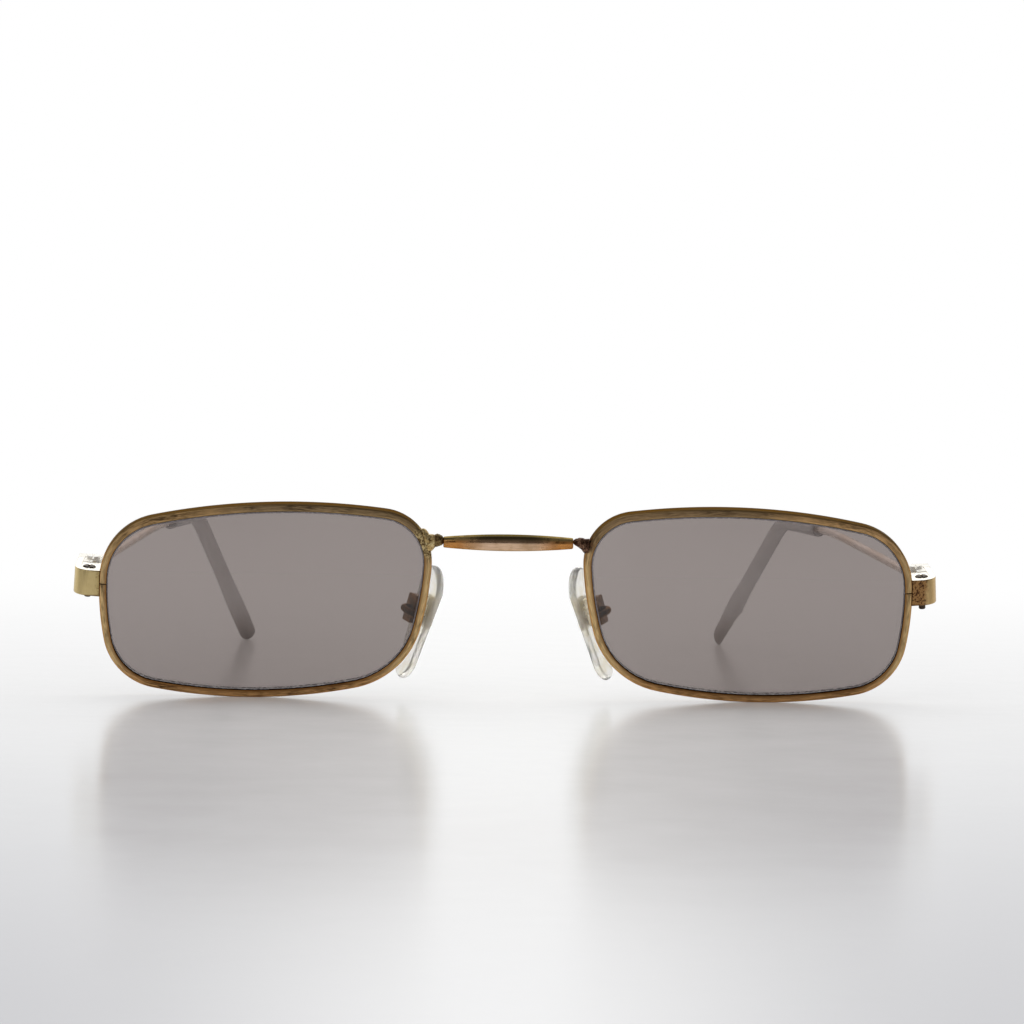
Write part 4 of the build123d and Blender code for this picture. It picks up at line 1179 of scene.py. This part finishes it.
def tip_ring(centre, heading, wide, high, side):
    """An oval ring of an ear tip."""
    upright = heading.cross(tip_side).normalized()
    level = upright.cross(heading).normalized()
    spokes = [level * (wide * cos(t)) + upright * (high * sin(t)) for t in turns(TIP_ROUND)]
    return [on_side(centre + spoke, side) for spoke in spokes]


def ear_rings(side, end_wide):
    """Rings of one ear tip: out of its mouth, along the sleeve and round the paddle's end."""
    mouth, mouth_heading = ear_route()[0]
    rings = [tip_ring(mouth + mouth_heading * inside, mouth_heading, r, r, side) for inside, r in MOUTH]
    for centre, heading in ear_route()[1:]:
        to_end = (tip_end - centre).length if heading == tip_heading else PADDLE_LENGTH
        share = min(1, max(0, (PADDLE_LENGTH - to_end) / (PADDLE_LENGTH / 2)))
        share = share * share * (3 - 2 * share)
        flattened = max(0, 1 - to_end / FLATTENED_LENGTH)
        wide = SLEEVE_RADIUS + (PADDLE_WIDE - SLEEVE_RADIUS) * share + (end_wide - PADDLE_WIDE) * flattened
        high = SLEEVE_RADIUS + (PADDLE_HIGH - SLEEVE_RADIUS) * share
        if to_end > END_ROUNDING + LAST_GAP:
            rings.append(tip_ring(centre, heading, wide, high, side))
    for i in range(1, END_STEPS + 1):
        angle = pi / 2 * i / END_STEPS
        centre = tip_end - tip_heading * (END_ROUNDING * (1 - sin(angle)))
        drawn = END_ROUNDING * (1 - cos(angle))
        rings.append(tip_ring(centre, tip_heading, end_wide - drawn * end_wide, PADDLE_HIGH - drawn, side))
    return rings


for name, side in SIDES.items():
    mesh = skin("ear_tip", ear_rings(side, END_WIDE[name]))
    put("ear_tip_dressed_" + name, mesh, tip_acetate, "temple_" + name, "ear_tip_" + name)
    print("ear tip", name, len(mesh.vertices), "points")

# %% [markdown]
# ## Nose pads
#
# A pad is a teardrop of clear vinyl, bowed towards the nose, with a soft round edge. Its
# outline is two circles and the two lines that touch both, and its front half, towards the rim,
# is narrower than its rear half. Rings shrink from the edge to the middle on one face, and grow
# again on the other. Each pad is slanted, splayed and tilted like the side of a nose.

# %% Pad skins
PAD_SLANT, PAD_SPLAY, PAD_TILT = radians(17), radians(28), radians(8)
PAD_LENGTH, PAD_WIDTH, PAD_TAIL, PAD_THICK, PAD_BOW = 17.8, 7.4, 5.0, 1.2, 34.0
PAD_ROUNDING, EDGE_STEPS = 0.55, 8
FRONT_SHARE = 0.65  # how wide the front half is, against the rear half
PAD_SHARES = (0.1, 0.3, 0.55, 0.8)
slant_along = front_up * cos(PAD_SLANT) - Vector((sin(PAD_SLANT), 0, 0))
slant_out = front_up * sin(PAD_SLANT) + Vector((cos(PAD_SLANT), 0, 0))
pad_along = slant_along * cos(PAD_TILT) + front_back * sin(PAD_TILT)
tilt_across = front_back * cos(PAD_TILT) - slant_along * sin(PAD_TILT)
pad_across = tilt_across * cos(PAD_SPLAY) + slant_out * sin(PAD_SPLAY)
pad_out = slant_out * cos(PAD_SPLAY) - tilt_across * sin(PAD_SPLAY)
pad_centre = Vector((12.1333, -50.413, 10.7973))


def teardrop(inset, points=96):
    """The pad's outline drawn in by inset, as across and along, in millimetres."""
    top, bottom = (PAD_LENGTH - PAD_WIDTH) / 2, -(PAD_LENGTH - PAD_TAIL) / 2
    big, small = PAD_WIDTH / 2, PAD_TAIL / 2
    lean = asin((big - small) / (top - bottom))
    half = points // 2
    upper = [(top, big, -lean + (pi + 2 * lean) * i / half) for i in range(half + 1)]
    lower = [(bottom, small, pi + lean + (pi - 2 * lean) * i / half) for i in range(half + 1)]
    edge = [Vector(((r - inset) * cos(a), y + (r - inset) * sin(a))) for y, r, a in upper + lower]
    return [Vector((p.x * (FRONT_SHARE if p.x < 0 else 1), p.y)) for p in edge]


def pad_ring(points, depth, side):
    """Points of the teardrop at a depth through the pad, laid on its bow."""
    hub = pad_centre + pad_out * PAD_BOW
    ring = []
    for p in points:
        angle = p.y / PAD_BOW
        swing = pad_along * sin(angle) - pad_out * cos(angle)
        ring.append(on_side(hub + swing * (PAD_BOW - depth) + pad_across * p.x, side))
    return ring


def pad_rings(side):
    """Rings of one pad, from the middle of its nose side round the edge to the middle of its back."""
    half, flat = PAD_THICK / 2, teardrop(PAD_ROUNDING)
    rings = [pad_ring([p * share for p in flat], -half, side) for share in PAD_SHARES]
    for i in range(EDGE_STEPS + 1):
        angle = pi * i / EDGE_STEPS
        rings.append(pad_ring(teardrop(PAD_ROUNDING * (1 - sin(angle))), -cos(angle) * half, side))
    rings += [pad_ring([p * share for p in flat], half, side) for share in reversed(PAD_SHARES)]
    return rings


for name, side in SIDES.items():
    mesh = skin("nose_pad", pad_rings(side))
    put("nose_pad_dressed_" + name, mesh, pad_vinyl, "nose_pad_" + name, "nose_pad_" + name)
    print("nose pad", name, len(mesh.vertices), "points")
